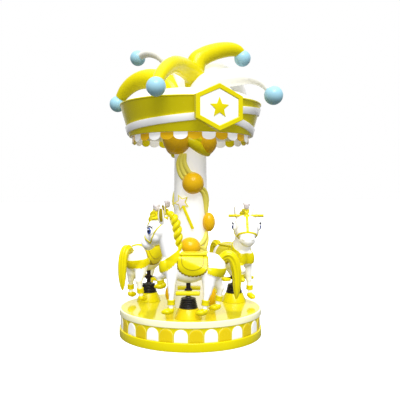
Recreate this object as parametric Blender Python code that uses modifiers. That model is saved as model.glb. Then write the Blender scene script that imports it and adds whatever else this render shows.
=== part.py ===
"""Mini carousel: a turntable of 1.5 m with three rising horses under a jester-hat canopy.

Metres, +Z up, origin at floor level on the turntable's axis. The sign faces -Y.
Azimuths are counted from -Y towards +X. A horse is modelled in its own frame, with
X forward, Y to its left, which is the outer side, and Z up from the deck.
"""

import math

import bmesh
import bpy
from mathutils import Matrix, Vector

# Clearances
GAP = 0.0003
RUN_GAP = 0.005
BORE_GAP = 0.0008

# Base
BASE_RADIUS = 0.75
BASE_WALL = 0.05
PAN_HEIGHT = 0.03
PLINTH_TOP = 0.085
BAND_RADIUS = 0.738
RIM_BOTTOM = 0.224
DECK_TOP = 0.283
DECK_THICKNESS = 0.03
RIM_WALL = 0.016
ARCH_COUNT = 32
FIRST_ARCH = math.radians(-5.5)
BEARING_RADIUS = 0.16

# Riders' places
HORSE_AZIMUTHS = [math.radians(a) for a in (-23, 97, 217)]
POST_CIRCLE = 0.55
POST_RADIUS = 0.022
POST_BOTTOM = -0.15
POST_TOP = 0.37
PEDESTAL_HEIGHT = 0.095
PEDESTAL_FOOT = 0.135
PEDESTAL_HEAD = 0.097
BELLOWS_TOP = 0.206
BELLOWS_FOOT = 0.092
BELLOWS_HEAD = 0.066
BELLOWS_RINGS = 6
BELLOWS_BORE = 0.030

# Column and what hangs on it
COLUMN_FOOT = 0.188
COLUMN_HEAD = 0.170
COLUMN_TAPER_TOP = 1.84
CEILING_BOTTOM = 2.079

# Canopy
CANOPY_TOP = 2.417
CANOPY_FOOT = 0.649
CANOPY_RIM = 0.75
CANOPY_WALL = 0.012
CEILING_THICKNESS = 0.016
VALANCE_RADIUS = 0.619
VALANCE_WALL = 0.008
VALANCE_DROP = 0.071
VALANCE_NOTCH = 0.028
SCALLOPS = 28
FIRST_SCALLOP = math.radians(-17)
RIBBON_WIDTH = 0.072
RIBBON_THICKNESS = 0.014
CROWN_EDGE = 2.40
CROWN_PROFILE = ((0.66, 2.46), (0.60, 2.50), (0.45, 2.53), (0.0, 2.545))
SIGN_HALF_WIDTH = 0.242
SIGN_HALF_HEIGHT = 0.226
SIGN_SIDE = 0.113
SIGN_FRAME = 0.045
SIGN_HEIGHT = 2.30
SIGN_DEPTH = 0.045
SIGN_FRONT = -0.775
SIGN_PLATE = 0.02
SIGN_RECESS = 0.012
BALL_RADIUS = 0.092

# Facets round a full circle
LARGE_STEPS = 48
COLUMN_STEPS = 24
SMALL_STEPS = 20
POST_STEPS = 12


def clear_scene():
    for obj in list(bpy.data.objects):
        bpy.data.objects.remove(obj, do_unlink=True)


def new_collection(name):
    collection = bpy.data.collections.new(name)
    bpy.context.scene.collection.children.link(collection)
    return collection


def new_material(name, colour, roughness, metallic=0.0):
    material = bpy.data.materials.new(name)
    material.use_nodes = True
    shader = material.node_tree.nodes["Principled BSDF"]
    shader.inputs["Base Color"].default_value = (*colour, 1)
    shader.inputs["Roughness"].default_value = roughness
    shader.inputs["Metallic"].default_value = metallic
    return material


clear_scene()
PARTS = new_collection("mini_carousel")
CUTTERS = new_collection("cutters")
CUTTERS.hide_render = True

YELLOW = new_material("yellow_plastic", (0.95, 0.80, 0.02), 0.25)
ORANGE = new_material("orange_plastic", (0.98, 0.55, 0.03), 0.25)
PALE_YELLOW = new_material("pale_yellow_plastic", (0.97, 0.88, 0.20), 0.25)
WHITE = new_material("white_plastic", (0.90, 0.90, 0.88), 0.30)
BLUE = new_material("blue_plastic", (0.40, 0.70, 0.90), 0.20)
BLACK_RUBBER = new_material("black_rubber", (0.02, 0.02, 0.02), 0.60)
DARK_STEEL = new_material("dark_steel", (0.05, 0.04, 0.04), 0.35, 1.0)
GREY_STEEL = new_material("grey_steel", (0.35, 0.35, 0.36), 0.40, 1.0)


def add_object(name, data, material=None, collection=None):
    obj = bpy.data.objects.new(name, data)
    (collection or PARTS).objects.link(obj)
    if material:
        data.materials.clear()
        data.materials.append(material)
    return obj


def baked(obj, name):
    """The object as its modifiers leave it, as a welded mesh object, in place of the object."""
    graph = bpy.context.evaluated_depsgraph_get()
    mesh = bpy.data.meshes.new_from_object(obj.evaluated_get(graph))
    mesh.transform(obj.matrix_world)
    bpy.data.objects.remove(obj, do_unlink=True)
    weld(mesh)
    return add_object(name, mesh, collection=CUTTERS)


def weld(mesh, distance=0.00002):
    work = bmesh.new()
    work.from_mesh(mesh)
    bmesh.ops.remove_doubles(work, verts=work.verts, dist=distance)
    bmesh.ops.dissolve_degenerate(work, edges=work.edges, dist=distance)
    bmesh.ops.recalc_face_normals(work, faces=work.faces)
    work.to_mesh(mesh)
    work.free()


def keep_largest_piece(mesh):
    """Drops the slivers that a Boolean can leave loose beside the piece itself."""
    work = bmesh.new()
    work.from_mesh(mesh)
    pieces = []
    unseen = set(work.verts)
    while unseen:
        front = [unseen.pop()]
        piece = list(front)
        while front:
            for edge in front.pop().link_edges:
                for vert in edge.verts:
                    if vert in unseen:
                        unseen.remove(vert)
                        front.append(vert)
                        piece.append(vert)
        pieces.append(piece)
    pieces.sort(key=len)
    for piece in pieces[:-1]:
        bmesh.ops.delete(work, geom=piece, context="VERTS")
    work.to_mesh(mesh)
    work.free()


def shade(obj, degrees=40):
    obj.data.shade_smooth()
    obj.data.set_sharp_from_angle(angle=math.radians(degrees))


def finish(obj, name, material):
    """Moves a worked mesh object to the parts, under its name and with its material."""
    keep_largest_piece(obj.data)
    CUTTERS.objects.unlink(obj)
    PARTS.objects.link(obj)
    obj.name = name
    obj.data.name = name
    obj.data.materials.clear()
    obj.data.materials.append(material)
    shade(obj)
    return obj


def boolean(obj, other, operation):
    """Applies one exact Boolean at once, and removes nothing."""
    modifier = obj.modifiers.new(operation.lower(), "BOOLEAN")
    modifier.operation = operation
    modifier.solver = "EXACT"
    modifier.object = other
    return baked(obj, obj.name)


def screw(name, profile, steps, start=0.0):
    """A turned solid. The profile is (radius, height), down its outer side from the top."""
    mesh = bpy.data.meshes.new(name)
    points = [Vector((r * math.cos(start), r * math.sin(start), z)) for r, z in profile]
    closed = profile[0][0] > 0
    edges = [(i, i + 1) for i in range(len(points) - 1)]
    if closed:
        edges.append((len(points) - 1, 0))
    mesh.from_pydata(points, edges, [])
    obj = add_object(name, mesh, collection=CUTTERS)
    modifier = obj.modifiers.new("turn", "SCREW")
    modifier.steps = steps
    modifier.render_steps = steps
    modifier.use_merge_vertices = True
    modifier.merge_threshold = 0.00001
    return baked(obj, name)


def turned(name, profile, steps, material, start=0.0):
    return finish(screw(name, profile, steps, start), name, material)


def tube(name, points, radii, sides=3):
    """A round bar along points, with a radius at each one."""
    curve = bpy.data.curves.new(name, "CURVE")
    curve.dimensions = "3D"
    curve.bevel_depth = 1.0
    curve.bevel_resolution = sides
    curve.use_fill_caps = True
    curve.twist_mode = "MINIMUM"
    spline = curve.splines.new("POLY")
    spline.points.add(len(points) - 1)
    for point, place, radius in zip(spline.points, points, radii):
        point.co = (*place, 1)
        point.radius = radius
    return baked(add_object(name, curve, collection=CUTTERS), name)


def outline_prism(name, points, depth):
    """A flat outline in X and Y, extruded along Z about its plane."""
    curve = bpy.data.curves.new(name, "CURVE")
    curve.dimensions = "2D"
    curve.fill_mode = "BOTH"
    curve.extrude = depth / 2
    spline = curve.splines.new("POLY")
    spline.use_cyclic_u = True
    spline.points.add(len(points) - 1)
    for point, (x, y) in zip(spline.points, points):
        point.co = (x, y, 0, 1)
    return baked(add_object(name, curve, collection=CUTTERS), name)


def ball(name, centre, radii, segments=16, rings=10):
    """An ellipsoid."""
    mesh = bpy.data.meshes.new(name)
    work = bmesh.new()
    bmesh.ops.create_uvsphere(work, u_segments=segments, v_segments=rings, radius=1.0)
    bmesh.ops.scale(work, vec=radii, verts=work.verts)
    bmesh.ops.translate(work, vec=centre, verts=work.verts)
    work.to_mesh(mesh)
    work.free()
    return add_object(name, mesh, collection=CUTTERS)


def box(name, centre, size, bevel=0.0):
    mesh = bpy.data.meshes.new(name)
    work = bmesh.new()
    bmesh.ops.create_cube(work, size=1.0)
    bmesh.ops.scale(work, vec=size, verts=work.verts)
    bmesh.ops.translate(work, vec=centre, verts=work.verts)
    work.to_mesh(mesh)
    work.free()
    obj = add_object(name, mesh, collection=CUTTERS)
    if bevel:
        modifier = obj.modifiers.new("round", "BEVEL")
        modifier.width = bevel
        modifier.segments = 2
        obj = baked(obj, name)
    return obj


def copy_of(obj, name):
    return add_object(name, obj.data.copy(), collection=CUTTERS)


def swollen(obj, distance):
    """A copy of the object, grown by a distance along its vertex normals."""
    grown = copy_of(obj, obj.name + "_swollen")
    normals = [v.normal.copy() for v in grown.data.vertices]
    for vertex, normal in zip(grown.data.vertices, normals):
        vertex.co += normal * distance
    return grown


def united(name, objects):
    result = objects[0]
    for other in objects[1:]:
        result = boolean(result, other, "UNION")
        bpy.data.objects.remove(other, do_unlink=True)
    result.name = name
    return result


def less(obj, cutter, keep=False):
    result = boolean(obj, cutter, "DIFFERENCE")
    if not keep:
        bpy.data.objects.remove(cutter, do_unlink=True)
    return result


def on_azimuth(azimuth, radius, height=0.0):
    return Vector((radius * math.sin(azimuth), -radius * math.cos(azimuth), height))


def bezier(p0, p1, p2, p3, count):
    points = []
    for i in range(count):
        t = i / (count - 1)
        s = 1 - t
        points.append(s**3 * p0 + 3 * s * s * t * p1 + 3 * s * t * t * p2 + t**3 * p3)
    return points


def between(knots, x):
    """The value at x of a line through (x, value) knots."""
    for (x0, y0), (x1, y1) in zip(knots, knots[1:]):
        if x <= x1:
            return y0 + (y1 - y0) * (x - x0) / (x1 - x0)
    return knots[-1][1]


def smooth_between(knots, x):
    """As between, but on a smooth curve through the knots."""
    for i, ((x0, y0), (x1, y1)) in enumerate(zip(knots, knots[1:])):
        if x <= x1:
            before = knots[max(0, i - 1)]
            after = knots[min(len(knots) - 1, i + 2)]
            span = x1 - x0
            m0 = (y1 - before[1]) / (x1 - before[0]) * span
            m1 = (after[1] - y0) / (after[0] - x0) * span
            t = (x - x0) / span
            return ((2 * t**3 - 3 * t**2 + 1) * y0 + (t**3 - 2 * t**2 + t) * m0
                    + (3 * t**2 - 2 * t**3) * y1 + (t**3 - t**2) * m1)
    return knots[-1][1]


def through(spots, count):
    """Evenly counted points on a smooth curve through spots."""
    spots = [Vector(p) for p in spots]
    knots = [[(i, p[axis]) for i, p in enumerate(spots)] for axis in range(3)]
    return [Vector([smooth_between(k, t) for k in knots]) for t in arc(0, len(spots) - 1, count)]


# Base, which stands still

def make_base():
    pan_radius = BASE_RADIUS - BASE_WALL - GAP
    pan = [(0, PAN_HEIGHT), (pan_radius, PAN_HEIGHT), (pan_radius, 0), (0, 0)]
    turned("base_pan", pan, LARGE_STEPS, GREY_STEEL)
    inner = BASE_RADIUS - BASE_WALL
    plinth = [
        (BASE_RADIUS - 0.006, PLINTH_TOP),
        (BASE_RADIUS, PLINTH_TOP - 0.006),
        (BASE_RADIUS, 0),
        (inner, 0),
        (inner, PLINTH_TOP),
    ]
    turned("plinth", plinth, LARGE_STEPS, YELLOW)
    bearing_top = DECK_TOP - DECK_THICKNESS - GAP
    bearing = [
        (0, bearing_top),
        (BEARING_RADIUS, bearing_top),
        (BEARING_RADIUS, PAN_HEIGHT + GAP),
        (0, PAN_HEIGHT + GAP),
    ]
    turned("bearing", bearing, COLUMN_STEPS, GREY_STEEL)
    make_arcade_band(inner)


def make_arcade_band(inner):
    """A ring with one flat facet for each arched panel."""
    top = RIM_BOTTOM - RUN_GAP
    bottom = PLINTH_TOP + GAP
    facet_start = FIRST_ARCH - math.pi / 2 + math.pi / ARCH_COUNT
    profile = [(BAND_RADIUS, top), (BAND_RADIUS, bottom), (inner, bottom), (inner, top)]
    turned("arcade_band", profile, ARCH_COUNT, YELLOW, facet_start)


def arc(start, end, count):
    return [start + (end - start) * i / (count - 1) for i in range(count)]


# Turntable

def make_deck():
    """A disc with a bore for each horse's post, inside its white rim."""
    radius = BASE_RADIUS - RIM_WALL - GAP
    bottom = DECK_TOP - DECK_THICKNESS
    deck = screw("deck", [(0, DECK_TOP), (radius, DECK_TOP), (radius, bottom), (0, bottom)], LARGE_STEPS)
    for azimuth in HORSE_AZIMUTHS:
        bore = screw("bore", [(0, 0.1), (bore_radius(), 0.1), (bore_radius(), -0.1), (0, -0.1)], POST_STEPS)
        bore.data.transform(Matrix.Translation(on_azimuth(azimuth, POST_CIRCLE, DECK_TOP)) @ turn_to(azimuth))
        deck = less(deck, bore)
    finish(deck, "deck", YELLOW)
    inner = BASE_RADIUS - RIM_WALL
    rim = [
        (BASE_RADIUS - 0.008, DECK_TOP),
        (BASE_RADIUS, DECK_TOP - 0.008),
        (BASE_RADIUS, RIM_BOTTOM + 0.004),
        (BASE_RADIUS - 0.004, RIM_BOTTOM),
        (inner, RIM_BOTTOM),
        (inner, DECK_TOP),
    ]
    turned("deck_rim", rim, LARGE_STEPS, WHITE)


def bore_radius():
    return POST_RADIUS + BORE_GAP


def turn_to(azimuth):
    """Turns a horse's frame so that its left side faces out at this azimuth."""
    return Matrix.Rotation(azimuth - math.pi, 4, "Z")


def make_column():
    taper = [
        (0, CEILING_BOTTOM - GAP),
        (COLUMN_HEAD, CEILING_BOTTOM - GAP),
        (COLUMN_HEAD, COLUMN_TAPER_TOP),
        (COLUMN_FOOT, DECK_TOP + GAP),
        (0, DECK_TOP + GAP),
    ]
    turned("column", taper, COLUMN_STEPS, WHITE)


def column_radius(height):
    share = (height - DECK_TOP) / (COLUMN_TAPER_TOP - DECK_TOP)
    return COLUMN_FOOT + (COLUMN_HEAD - COLUMN_FOOT) * min(1, max(0, share))


# Garland: (azimuth in degrees, height, radii, how far its centre stands out from the column)
GARLAND_BALLS = [
    (28, 2.010, (0.110, 0.110, 0.115), 0.050),
    (-59, 2.035, (0.146, 0.146, 0.146), 0.055),
    (-14, 1.590, (0.113, 0.113, 0.113), 0.045),
    (39, 1.185, (0.066, 0.066, 0.100), 0.045),
    (-21, 0.925, (0.106, 0.106, 0.100), 0.045),
    (46, 0.450, (0.046, 0.046, 0.085), 0.035),
]
# Strands: (azimuth, height) along the middle, radius, and how far out from the column
GARLAND_STRANDS = [
    (((-42, 2.075), (-18, 2.015), (12, 1.945), (40, 1.895)), 0.060, 0.045),
    (((-45, 1.900), (-52, 1.800), (-41, 1.690), (-26, 1.640)), 0.046, 0.016),
    (((5, 1.555), (32, 1.490), (43, 1.385), (41, 1.270)), 0.040, 0.013),
    (((42, 1.090), (38, 1.010), (19, 0.930), (-2, 0.920)), 0.040, 0.014),
    (((-13, 0.850), (13, 0.770), (42, 0.655), (49, 0.520)), 0.040, 0.014),
]
STRAND_POINTS = 7


def garland_point(azimuth, height, out):
    return on_azimuth(math.radians(azimuth), column_radius(height) + out, height)


def strand(name, spots, radius, out):
    """One bundle of yellow strands between two balls, fatter in its middle."""
    spots = through([(azimuth, height, 0) for azimuth, height in spots], STRAND_POINTS)
    points = [garland_point(azimuth, height, out) for azimuth, height, _ in spots]
    radii = [radius * (0.5 + 0.5 * math.sin(math.pi * t)) for t in arc(0, 1, STRAND_POINTS)]
    return tube(name, points, radii, 1)


def make_garland(name, turn, neighbours):
    """Orange balls on a zigzag of yellow strands, as one string that lies on the column."""
    pieces = []
    for azimuth, height, radii, out in GARLAND_BALLS:
        pieces.append(ball(name, garland_point(azimuth, height, out), radii, 10, 6))
    for spots, radius, out in GARLAND_STRANDS:
        pieces.append(strand(name, spots, radius, out))
    garland = united(name, pieces)
    garland.data.transform(Matrix.Rotation(turn, 4, "Z"))
    for neighbour in neighbours:
        garland = less(garland, swollen(neighbour, GAP))
    finish(garland, name, ORANGE)


def star(outer, inner, count=5):
    points = []
    for i in range(2 * count):
        radius = inner if i % 2 else outer
        angle = math.pi / 2 + i * math.pi / count
        points.append((radius * math.cos(angle), radius * math.sin(angle)))
    return points


WAND_AZIMUTH = math.radians(-34)
WAND_LEAN = math.radians(17)
WAND_ASIDE = -0.05
WAND_SEAT = 0.004
WAND_HEIGHT = 1.39
WAND_STICK = 0.26
WAND_STICK_RADIUS = 0.014
STAR_OUTER = 0.088
STAR_INNER = 0.042
STAR_DEPTH = 0.024


def make_wand(column):
    """A star on a stick, whose foot is let into the column's face."""
    head = outline_prism("wand", star(STAR_OUTER, STAR_INNER), STAR_DEPTH)
    stick = tube("stick", [(0, -0.02, 0), (0, -STAR_INNER - WAND_STICK, 0)], [WAND_STICK_RADIUS] * 2, 2)
    wand = united("wand", [head, stick])
    stand = Matrix.Rotation(math.pi / 2, 4, "X") @ Matrix.Rotation(WAND_LEAN, 4, "Z")
    out = column_radius(WAND_HEIGHT - STAR_INNER - WAND_STICK) + WAND_STICK_RADIUS - WAND_SEAT
    place = Matrix.Translation(on_azimuth(WAND_AZIMUTH, out, WAND_HEIGHT))
    aside = Matrix.Translation((WAND_ASIDE, 0, 0))
    wand.data.transform(place @ Matrix.Rotation(WAND_AZIMUTH, 4, "Z") @ aside @ stand)
    finish(less(wand, swollen(column, GAP)), "wand", PALE_YELLOW)


# Canopy

def canopy_radius(height, wall=0.0):
    share = (height - CEILING_BOTTOM) / (CANOPY_TOP - CEILING_BOTTOM)
    return CANOPY_FOOT + (CANOPY_RIM - CANOPY_FOOT) * share - wall


def make_canopy():
    lip = CANOPY_TOP - 0.012
    band = [
        (CANOPY_RIM, CANOPY_TOP),
        (CANOPY_RIM, lip),
        (canopy_radius(lip) - 0.004, lip - 0.002),
        (CANOPY_FOOT, CEILING_BOTTOM),
        (CANOPY_FOOT - CANOPY_WALL, CEILING_BOTTOM),
        (CANOPY_RIM - CANOPY_WALL, CANOPY_TOP),
    ]
    turned("canopy_band", band, LARGE_STEPS, YELLOW)
    top = CEILING_BOTTOM + CEILING_THICKNESS
    seat = CANOPY_WALL + 2 * GAP
    ceiling = [
        (0, top),
        (canopy_radius(top, seat), top),
        (canopy_radius(CEILING_BOTTOM, seat), CEILING_BOTTOM),
        (0, CEILING_BOTTOM),
    ]
    turned("canopy_ceiling", ceiling, LARGE_STEPS, WHITE)
    under = CROWN_EDGE - 0.012
    dome = [*reversed(CROWN_PROFILE), (canopy_radius(CROWN_EDGE, seat), CROWN_EDGE)]
    dome += [(canopy_radius(under, seat), under), (0, under)]
    return turned("crown", dome, LARGE_STEPS, WHITE)


def make_valance():
    """A ring whose lower edge hangs in scallops."""
    steps = 3 * SCALLOPS
    outer = VALANCE_RADIUS
    inner = VALANCE_RADIUS - VALANCE_WALL
    top = CEILING_BOTTOM - GAP
    profile = [(outer, top), (outer, top - VALANCE_DROP), (inner, top - VALANCE_DROP), (inner, top)]
    start = FIRST_SCALLOP - math.pi / SCALLOPS - math.pi / 2
    ring = screw("valance", profile, steps, start)
    for vertex in ring.data.vertices:
        if vertex.co.z > top - VALANCE_DROP / 2:
            continue
        azimuth = math.atan2(vertex.co.x, -vertex.co.y) - FIRST_SCALLOP
        across = (azimuth * SCALLOPS / (2 * math.pi) + 0.5) % 1.0
        if min(across, 1 - across) < 0.1:
            vertex.co.z = top - VALANCE_NOTCH
    finish(ring, "valance", ORANGE)


# Ribbon: (azimuth in degrees, share of the band's height)
RIBBON_PATH = [
    (18, 0.35),
    (54, 0.14),
    (75, 0.11),
    (159, 0.11),
    (225, 0.13),
    (249, 0.17),
    (343, 0.41),
    (372, 0.63),
    (385, 0.66),
    (429, 0.76),
    (519, 0.86),
]
RIBBON_STEPS = 44


def make_ribbon(band):
    """A flat band that winds once and a half round the canopy, along the side of its cone."""
    length = math.hypot(CANOPY_TOP - CEILING_BOTTOM, CANOPY_RIM - CANOPY_FOOT)
    half = RIBBON_WIDTH / 2 / length
    mesh = bpy.data.meshes.new("canopy_ribbon")
    work = bmesh.new()
    sections = []
    for degrees in arc(RIBBON_PATH[0][0], RIBBON_PATH[-1][0], RIBBON_STEPS + 1):
        share = between(RIBBON_PATH, degrees)
        section = []
        for side, out in ((-half, -0.006), (half, -0.006), (half, RIBBON_THICKNESS), (-half, RIBBON_THICKNESS)):
            height = CEILING_BOTTOM + (share + side) * (CANOPY_TOP - CEILING_BOTTOM)
            place = on_azimuth(math.radians(degrees), canopy_radius(height) + out, height)
            section.append(work.verts.new(place))
        sections.append(section)
    for first, second in zip(sections, sections[1:]):
        for i in range(4):
            j = (i + 1) % 4
            work.faces.new((first[i], first[j], second[j], second[i]))
    work.faces.new(sections[0])
    work.faces.new(sections[-1])
    bmesh.ops.recalc_face_normals(work, faces=work.faces)
    work.to_mesh(mesh)
    work.free()
    ribbon = add_object("canopy_ribbon", mesh, collection=CUTTERS)
    return finish(less(ribbon, swollen(band, GAP)), "canopy_ribbon", WHITE)


def hexagon(inset):
    """The sign's outline, inset evenly, with two upright sides."""
    slope = math.atan2(SIGN_HALF_HEIGHT - SIGN_SIDE, SIGN_HALF_WIDTH)
    half_width = SIGN_HALF_WIDTH - inset
    half_height = SIGN_HALF_HEIGHT - inset / math.cos(slope)
    side = half_height - half_width * math.tan(slope)
    return [
        (half_width, side),
        (0, half_height),
        (-half_width, side),
        (-half_width, -side),
        (0, -half_height),
        (half_width, -side),
    ]


def make_sign(band, ribbon):
    """A hexagonal frame, and the plate in it with a boss that carries both on the canopy."""
    stand = Matrix.Translation((0, SIGN_FRONT, SIGN_HEIGHT)) @ Matrix.Rotation(math.pi / 2, 4, "X")
    frame = outline_prism("sign_frame", hexagon(0), SIGN_DEPTH)
    frame = less(frame, outline_prism("sign_hole", hexagon(SIGN_FRAME), 0.3))
    frame.data.transform(stand @ Matrix.Translation((0, 0, -SIGN_DEPTH / 2)))
    plate = outline_prism("sign_plate", hexagon(SIGN_FRAME + GAP), SIGN_PLATE)
    plate.data.transform(stand @ Matrix.Translation((0, 0, -SIGN_RECESS - SIGN_PLATE / 2)))
    boss = box("boss", (0, SIGN_FRONT + 0.10, SIGN_HEIGHT - 0.02), (0.18, 0.15, 0.17))
    plate = united("sign_plate", [plate, boss])
    for piece, name, material in ((frame, "sign_frame", YELLOW), (plate, "sign_plate", WHITE)):
        for neighbour in (band, ribbon):
            piece = less(piece, swollen(neighbour, 3 * GAP))
        finish(piece, name, material)


# Horns: azimuth in degrees, then (distance, height, aside) of points along the middle and of the
# ball, then (share, radius) knots
HORNS = {
    "horn_b": (-42, ((-0.10, 2.40, 0.08), (-0.07, 2.58, 0.08), (-0.02, 2.695, 0.06), (0.10, 2.765, 0.03),
                     (0.27, 2.785, 0), (0.45, 2.765, 0), (0.62, 2.70, 0), (0.766, 2.605, 0),
                     (0.860, 2.505, 0)), (0.883, 2.470, 0),
               ((0, 0.120), (0.35, 0.108), (0.6, 0.086), (0.85, 0.066), (1, 0.056)), YELLOW),
    "horn_d": (96, ((0.12, 2.40, 0), (0.05, 2.66, 0), (0.07, 2.88, 0), (0.165, 2.968, 0),
                    (0.301, 3.030, 0), (0.428, 3.066, 0), (0.530, 3.078, 0), (0.602, 3.064, 0),
                    (0.648, 3.020, 0)), (0.655, 2.995, 0),
               ((0, 0.115), (0.4, 0.096), (0.65, 0.082), (0.88, 0.064), (1, 0.050)), YELLOW),
    "horn_e": (34, ((0.09, 2.40, 0), (0.11, 2.54, 0), (0.19, 2.625, 0), (0.30, 2.660, 0),
                    (0.515, 2.660, 0), (0.722, 2.637, 0), (0.867, 2.571, 0), (0.955, 2.475, 0)),
               (0.981, 2.434, 0),
               ((0, 0.115), (0.35, 0.105), (0.57, 0.090), (0.72, 0.064), (0.86, 0.050), (1, 0.038)), WHITE),
    "horn_a": (-142, ((0.16, 2.40, 0), (0.20, 2.56, 0), (0.34, 2.70, 0), (0.50, 2.755, 0),
                      (0.64, 2.760, 0), (0.76, 2.728, 0), (0.862, 2.665, 0), (0.94, 2.583, 0)),
               (0.985, 2.515, 0),
               ((0, 0.125), (0.4, 0.112), (0.7, 0.094), (0.88, 0.078), (1, 0.062)), YELLOW),
    "horn_c": (-161, ((0.10, 2.40, 0), (0.12, 2.66, 0), (0.22, 2.84, 0), (0.437, 2.995, 0),
                      (0.568, 3.070, 0), (0.724, 3.120, 0), (0.850, 3.128, 0), (0.935, 3.112, 0)),
               (0.985, 3.105, 0), ((0, 0.105), (0.4, 0.072), (0.7, 0.054), (1, 0.042)), WHITE),
    "horn_f": (118, ((0.14, 2.40, 0), (0.16, 2.58, 0), (0.25, 2.76, 0), (0.42, 2.84, 0),
                     (0.60, 2.850, 0), (0.77, 2.80, 0), (0.90, 2.69, 0), (0.96, 2.57, 0)),
               (0.975, 2.50, 0),
               ((0, 0.125), (0.35, 0.112), (0.6, 0.092), (0.85, 0.068), (1, 0.050)), WHITE),
}
HORN_POINTS = 13
HORN_SPACE = 0.0015


def horn_point(azimuth, spot):
    """A point at a distance and height on this azimuth, and aside from its plane."""
    distance, height, aside = spot
    way = math.radians(azimuth)
    return on_azimuth(way, distance, height) + Vector((math.cos(way), math.sin(way), 0)) * aside


def horn_solid(name, entry, extra=0.0):
    azimuth, spots, _, knots, _ = entry
    points = through([horn_point(azimuth, spot) for spot in spots], HORN_POINTS)
    radii = [smooth_between(knots, t) + extra for t in arc(0, 1, HORN_POINTS)]
    return tube(name, points, radii, 2)


def make_horns(crown):
    """Tapered horns that spring from the crown. Each gives way to the crown and to those before it."""
    taken = [swollen(crown, GAP)]
    for name, entry in HORNS.items():
        horn = horn_solid(name, entry)
        knob = ball(name + "_ball", horn_point(entry[0], entry[2]), (BALL_RADIUS,) * 3, 12, 8)
        for cutter in taken:
            horn = less(horn, cutter, keep=True)
        horn = less(horn, swollen(knob, GAP))
        finish(horn, name, entry[-1])
        finish(knob, "ball_" + name[-1], BLUE)
        taken.append(horn_solid(name + "_space", entry, HORN_SPACE))
    for cutter in taken:
        bpy.data.objects.remove(cutter, do_unlink=True)


# Horse: ellipsoids as (centre, radii), and limbs as chains of (centre, radius)
HORSE_MASSES = [
    ((0.135, 0, 0.510), (0.125, 0.115, 0.140)),
    ((0.000, 0, 0.485), (0.190, 0.118, 0.148)),
    ((-0.200, 0, 0.490), (0.145, 0.125, 0.142)),
]
HORSE_LIMBS = [
    [((0.13, 0, 0.56), 0.110), ((0.185, 0, 0.70), 0.092), ((0.225, 0, 0.85), 0.090)],
    [((0.17, 0.060, 0.45), 0.064), ((0.178, 0.080, 0.33), 0.043), ((0.170, 0.092, 0.24), 0.030),
     ((0.166, 0.100, 0.155), 0.027), ((0.166, 0.100, 0.115), 0.026)],
    [((0.17, -0.060, 0.45), 0.066), ((0.245, -0.080, 0.405), 0.045), ((0.300, -0.090, 0.390), 0.034),
     ((0.285, -0.092, 0.345), 0.028), ((0.272, -0.092, 0.320), 0.026)],
    [((-0.20, 0.065, 0.45), 0.088), ((-0.195, 0.085, 0.34), 0.060), ((-0.185, 0.108, 0.26), 0.038),
     ((-0.168, 0.123, 0.19), 0.028), ((-0.160, 0.130, 0.12), 0.026)],
    [((-0.22, -0.065, 0.45), 0.088), ((-0.27, -0.085, 0.34), 0.058), ((-0.31, -0.098, 0.27), 0.038),
     ((-0.292, -0.105, 0.20), 0.028), ((-0.278, -0.108, 0.16), 0.026)],
]
HOOVES = [
    ((0.192, 0.100, 0.092), (0.050, 0.038, 0.034)),
    ((0.268, -0.092, 0.290), (0.048, 0.038, 0.034)),
    ((-0.135, 0.136, 0.092), (0.050, 0.036, 0.034)),
    ((-0.250, -0.108, 0.130), (0.050, 0.038, 0.034)),
]
# The head, as it would be if it weren't turned inward about the top of the neck
HEAD_MASSES = [
    ((0.285, 0, 0.852), (0.118, 0.138, 0.120)),
    ((0.345, 0, 0.785), (0.095, 0.112, 0.092)),
    ((0.415, 0, 0.712), (0.064, 0.083, 0.064)),
]
EARS = [
    [((0.25, side * 0.07, 0.93), 0.040), ((0.245, side * 0.098, 1.00), 0.036), ((0.24, side * 0.115, 1.065), 0.014)]
    for side in (1, -1)
]
HEAD_TURN = math.radians(-28)
HEAD_PIVOT = Vector((0.235, 0, 0))
VOXEL = 0.012
CASTING_TRIANGLES = 900
HANDLEBAR_PLACE = (0.262, 0.962)
HANDLEBAR_SPAN = 0.38
HANDLEBAR_RADIUS = 0.016


def chain(name, beads):
    """Balls joined by cones: a limb as a modeller would block it out."""
    pieces = [ball(name, centre, (radius,) * 3, 16, 10) for centre, radius in beads]
    for (a, ra), (b, rb) in zip(beads, beads[1:]):
        pieces.append(tube(name, [Vector(a), Vector(b)], [ra, rb], 4))
    return pieces


def joined(name, objects):
    mesh = bpy.data.meshes.new(name)
    work = bmesh.new()
    for obj in objects:
        work.from_mesh(obj.data)
        bpy.data.objects.remove(obj, do_unlink=True)
    work.to_mesh(mesh)
    work.free()
    return add_object(name, mesh, collection=CUTTERS)


def fused(name, objects, voxel, triangles, smoothing=4):
    """One smooth skin over overlapping masses."""
    obj = joined(name, objects)
    skin = obj.modifiers.new("skin", "REMESH")
    skin.mode = "VOXEL"
    skin.voxel_size = voxel
    soften = obj.modifiers.new("soften", "SMOOTH")
    soften.factor = 0.5
    soften.iterations = smoothing
    obj = baked(obj, name)
    count = sum(len(p.vertices) - 2 for p in obj.data.polygons)
    thin = obj.modifiers.new("thin", "DECIMATE")
    thin.ratio = triangles / count
    thin.use_collapse_triangulate = True
    return baked(obj, name)


def with_head(obj):
    """Turns a piece of the head, made in the horse's plane, to where the head looks."""
    turn = Matrix.Rotation(HEAD_TURN, 4, "Z")
    obj.data.transform(Matrix.Translation(HEAD_PIVOT) @ turn @ Matrix.Translation(-HEAD_PIVOT))
    return obj


def make_casting():
    pieces = [ball("mass", centre, radii, 24, 16) for centre, radii in HORSE_MASSES + HOOVES]
    for beads in HORSE_LIMBS:
        pieces += chain("limb", beads)
    head = [ball("head", centre, radii, 24, 16) for centre, radii in HEAD_MASSES]
    for beads in EARS:
        head += chain("ear", beads)
    pieces += [with_head(piece) for piece in head]
    return fused("casting", pieces, VOXEL, CASTING_TRIANGLES)


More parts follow.
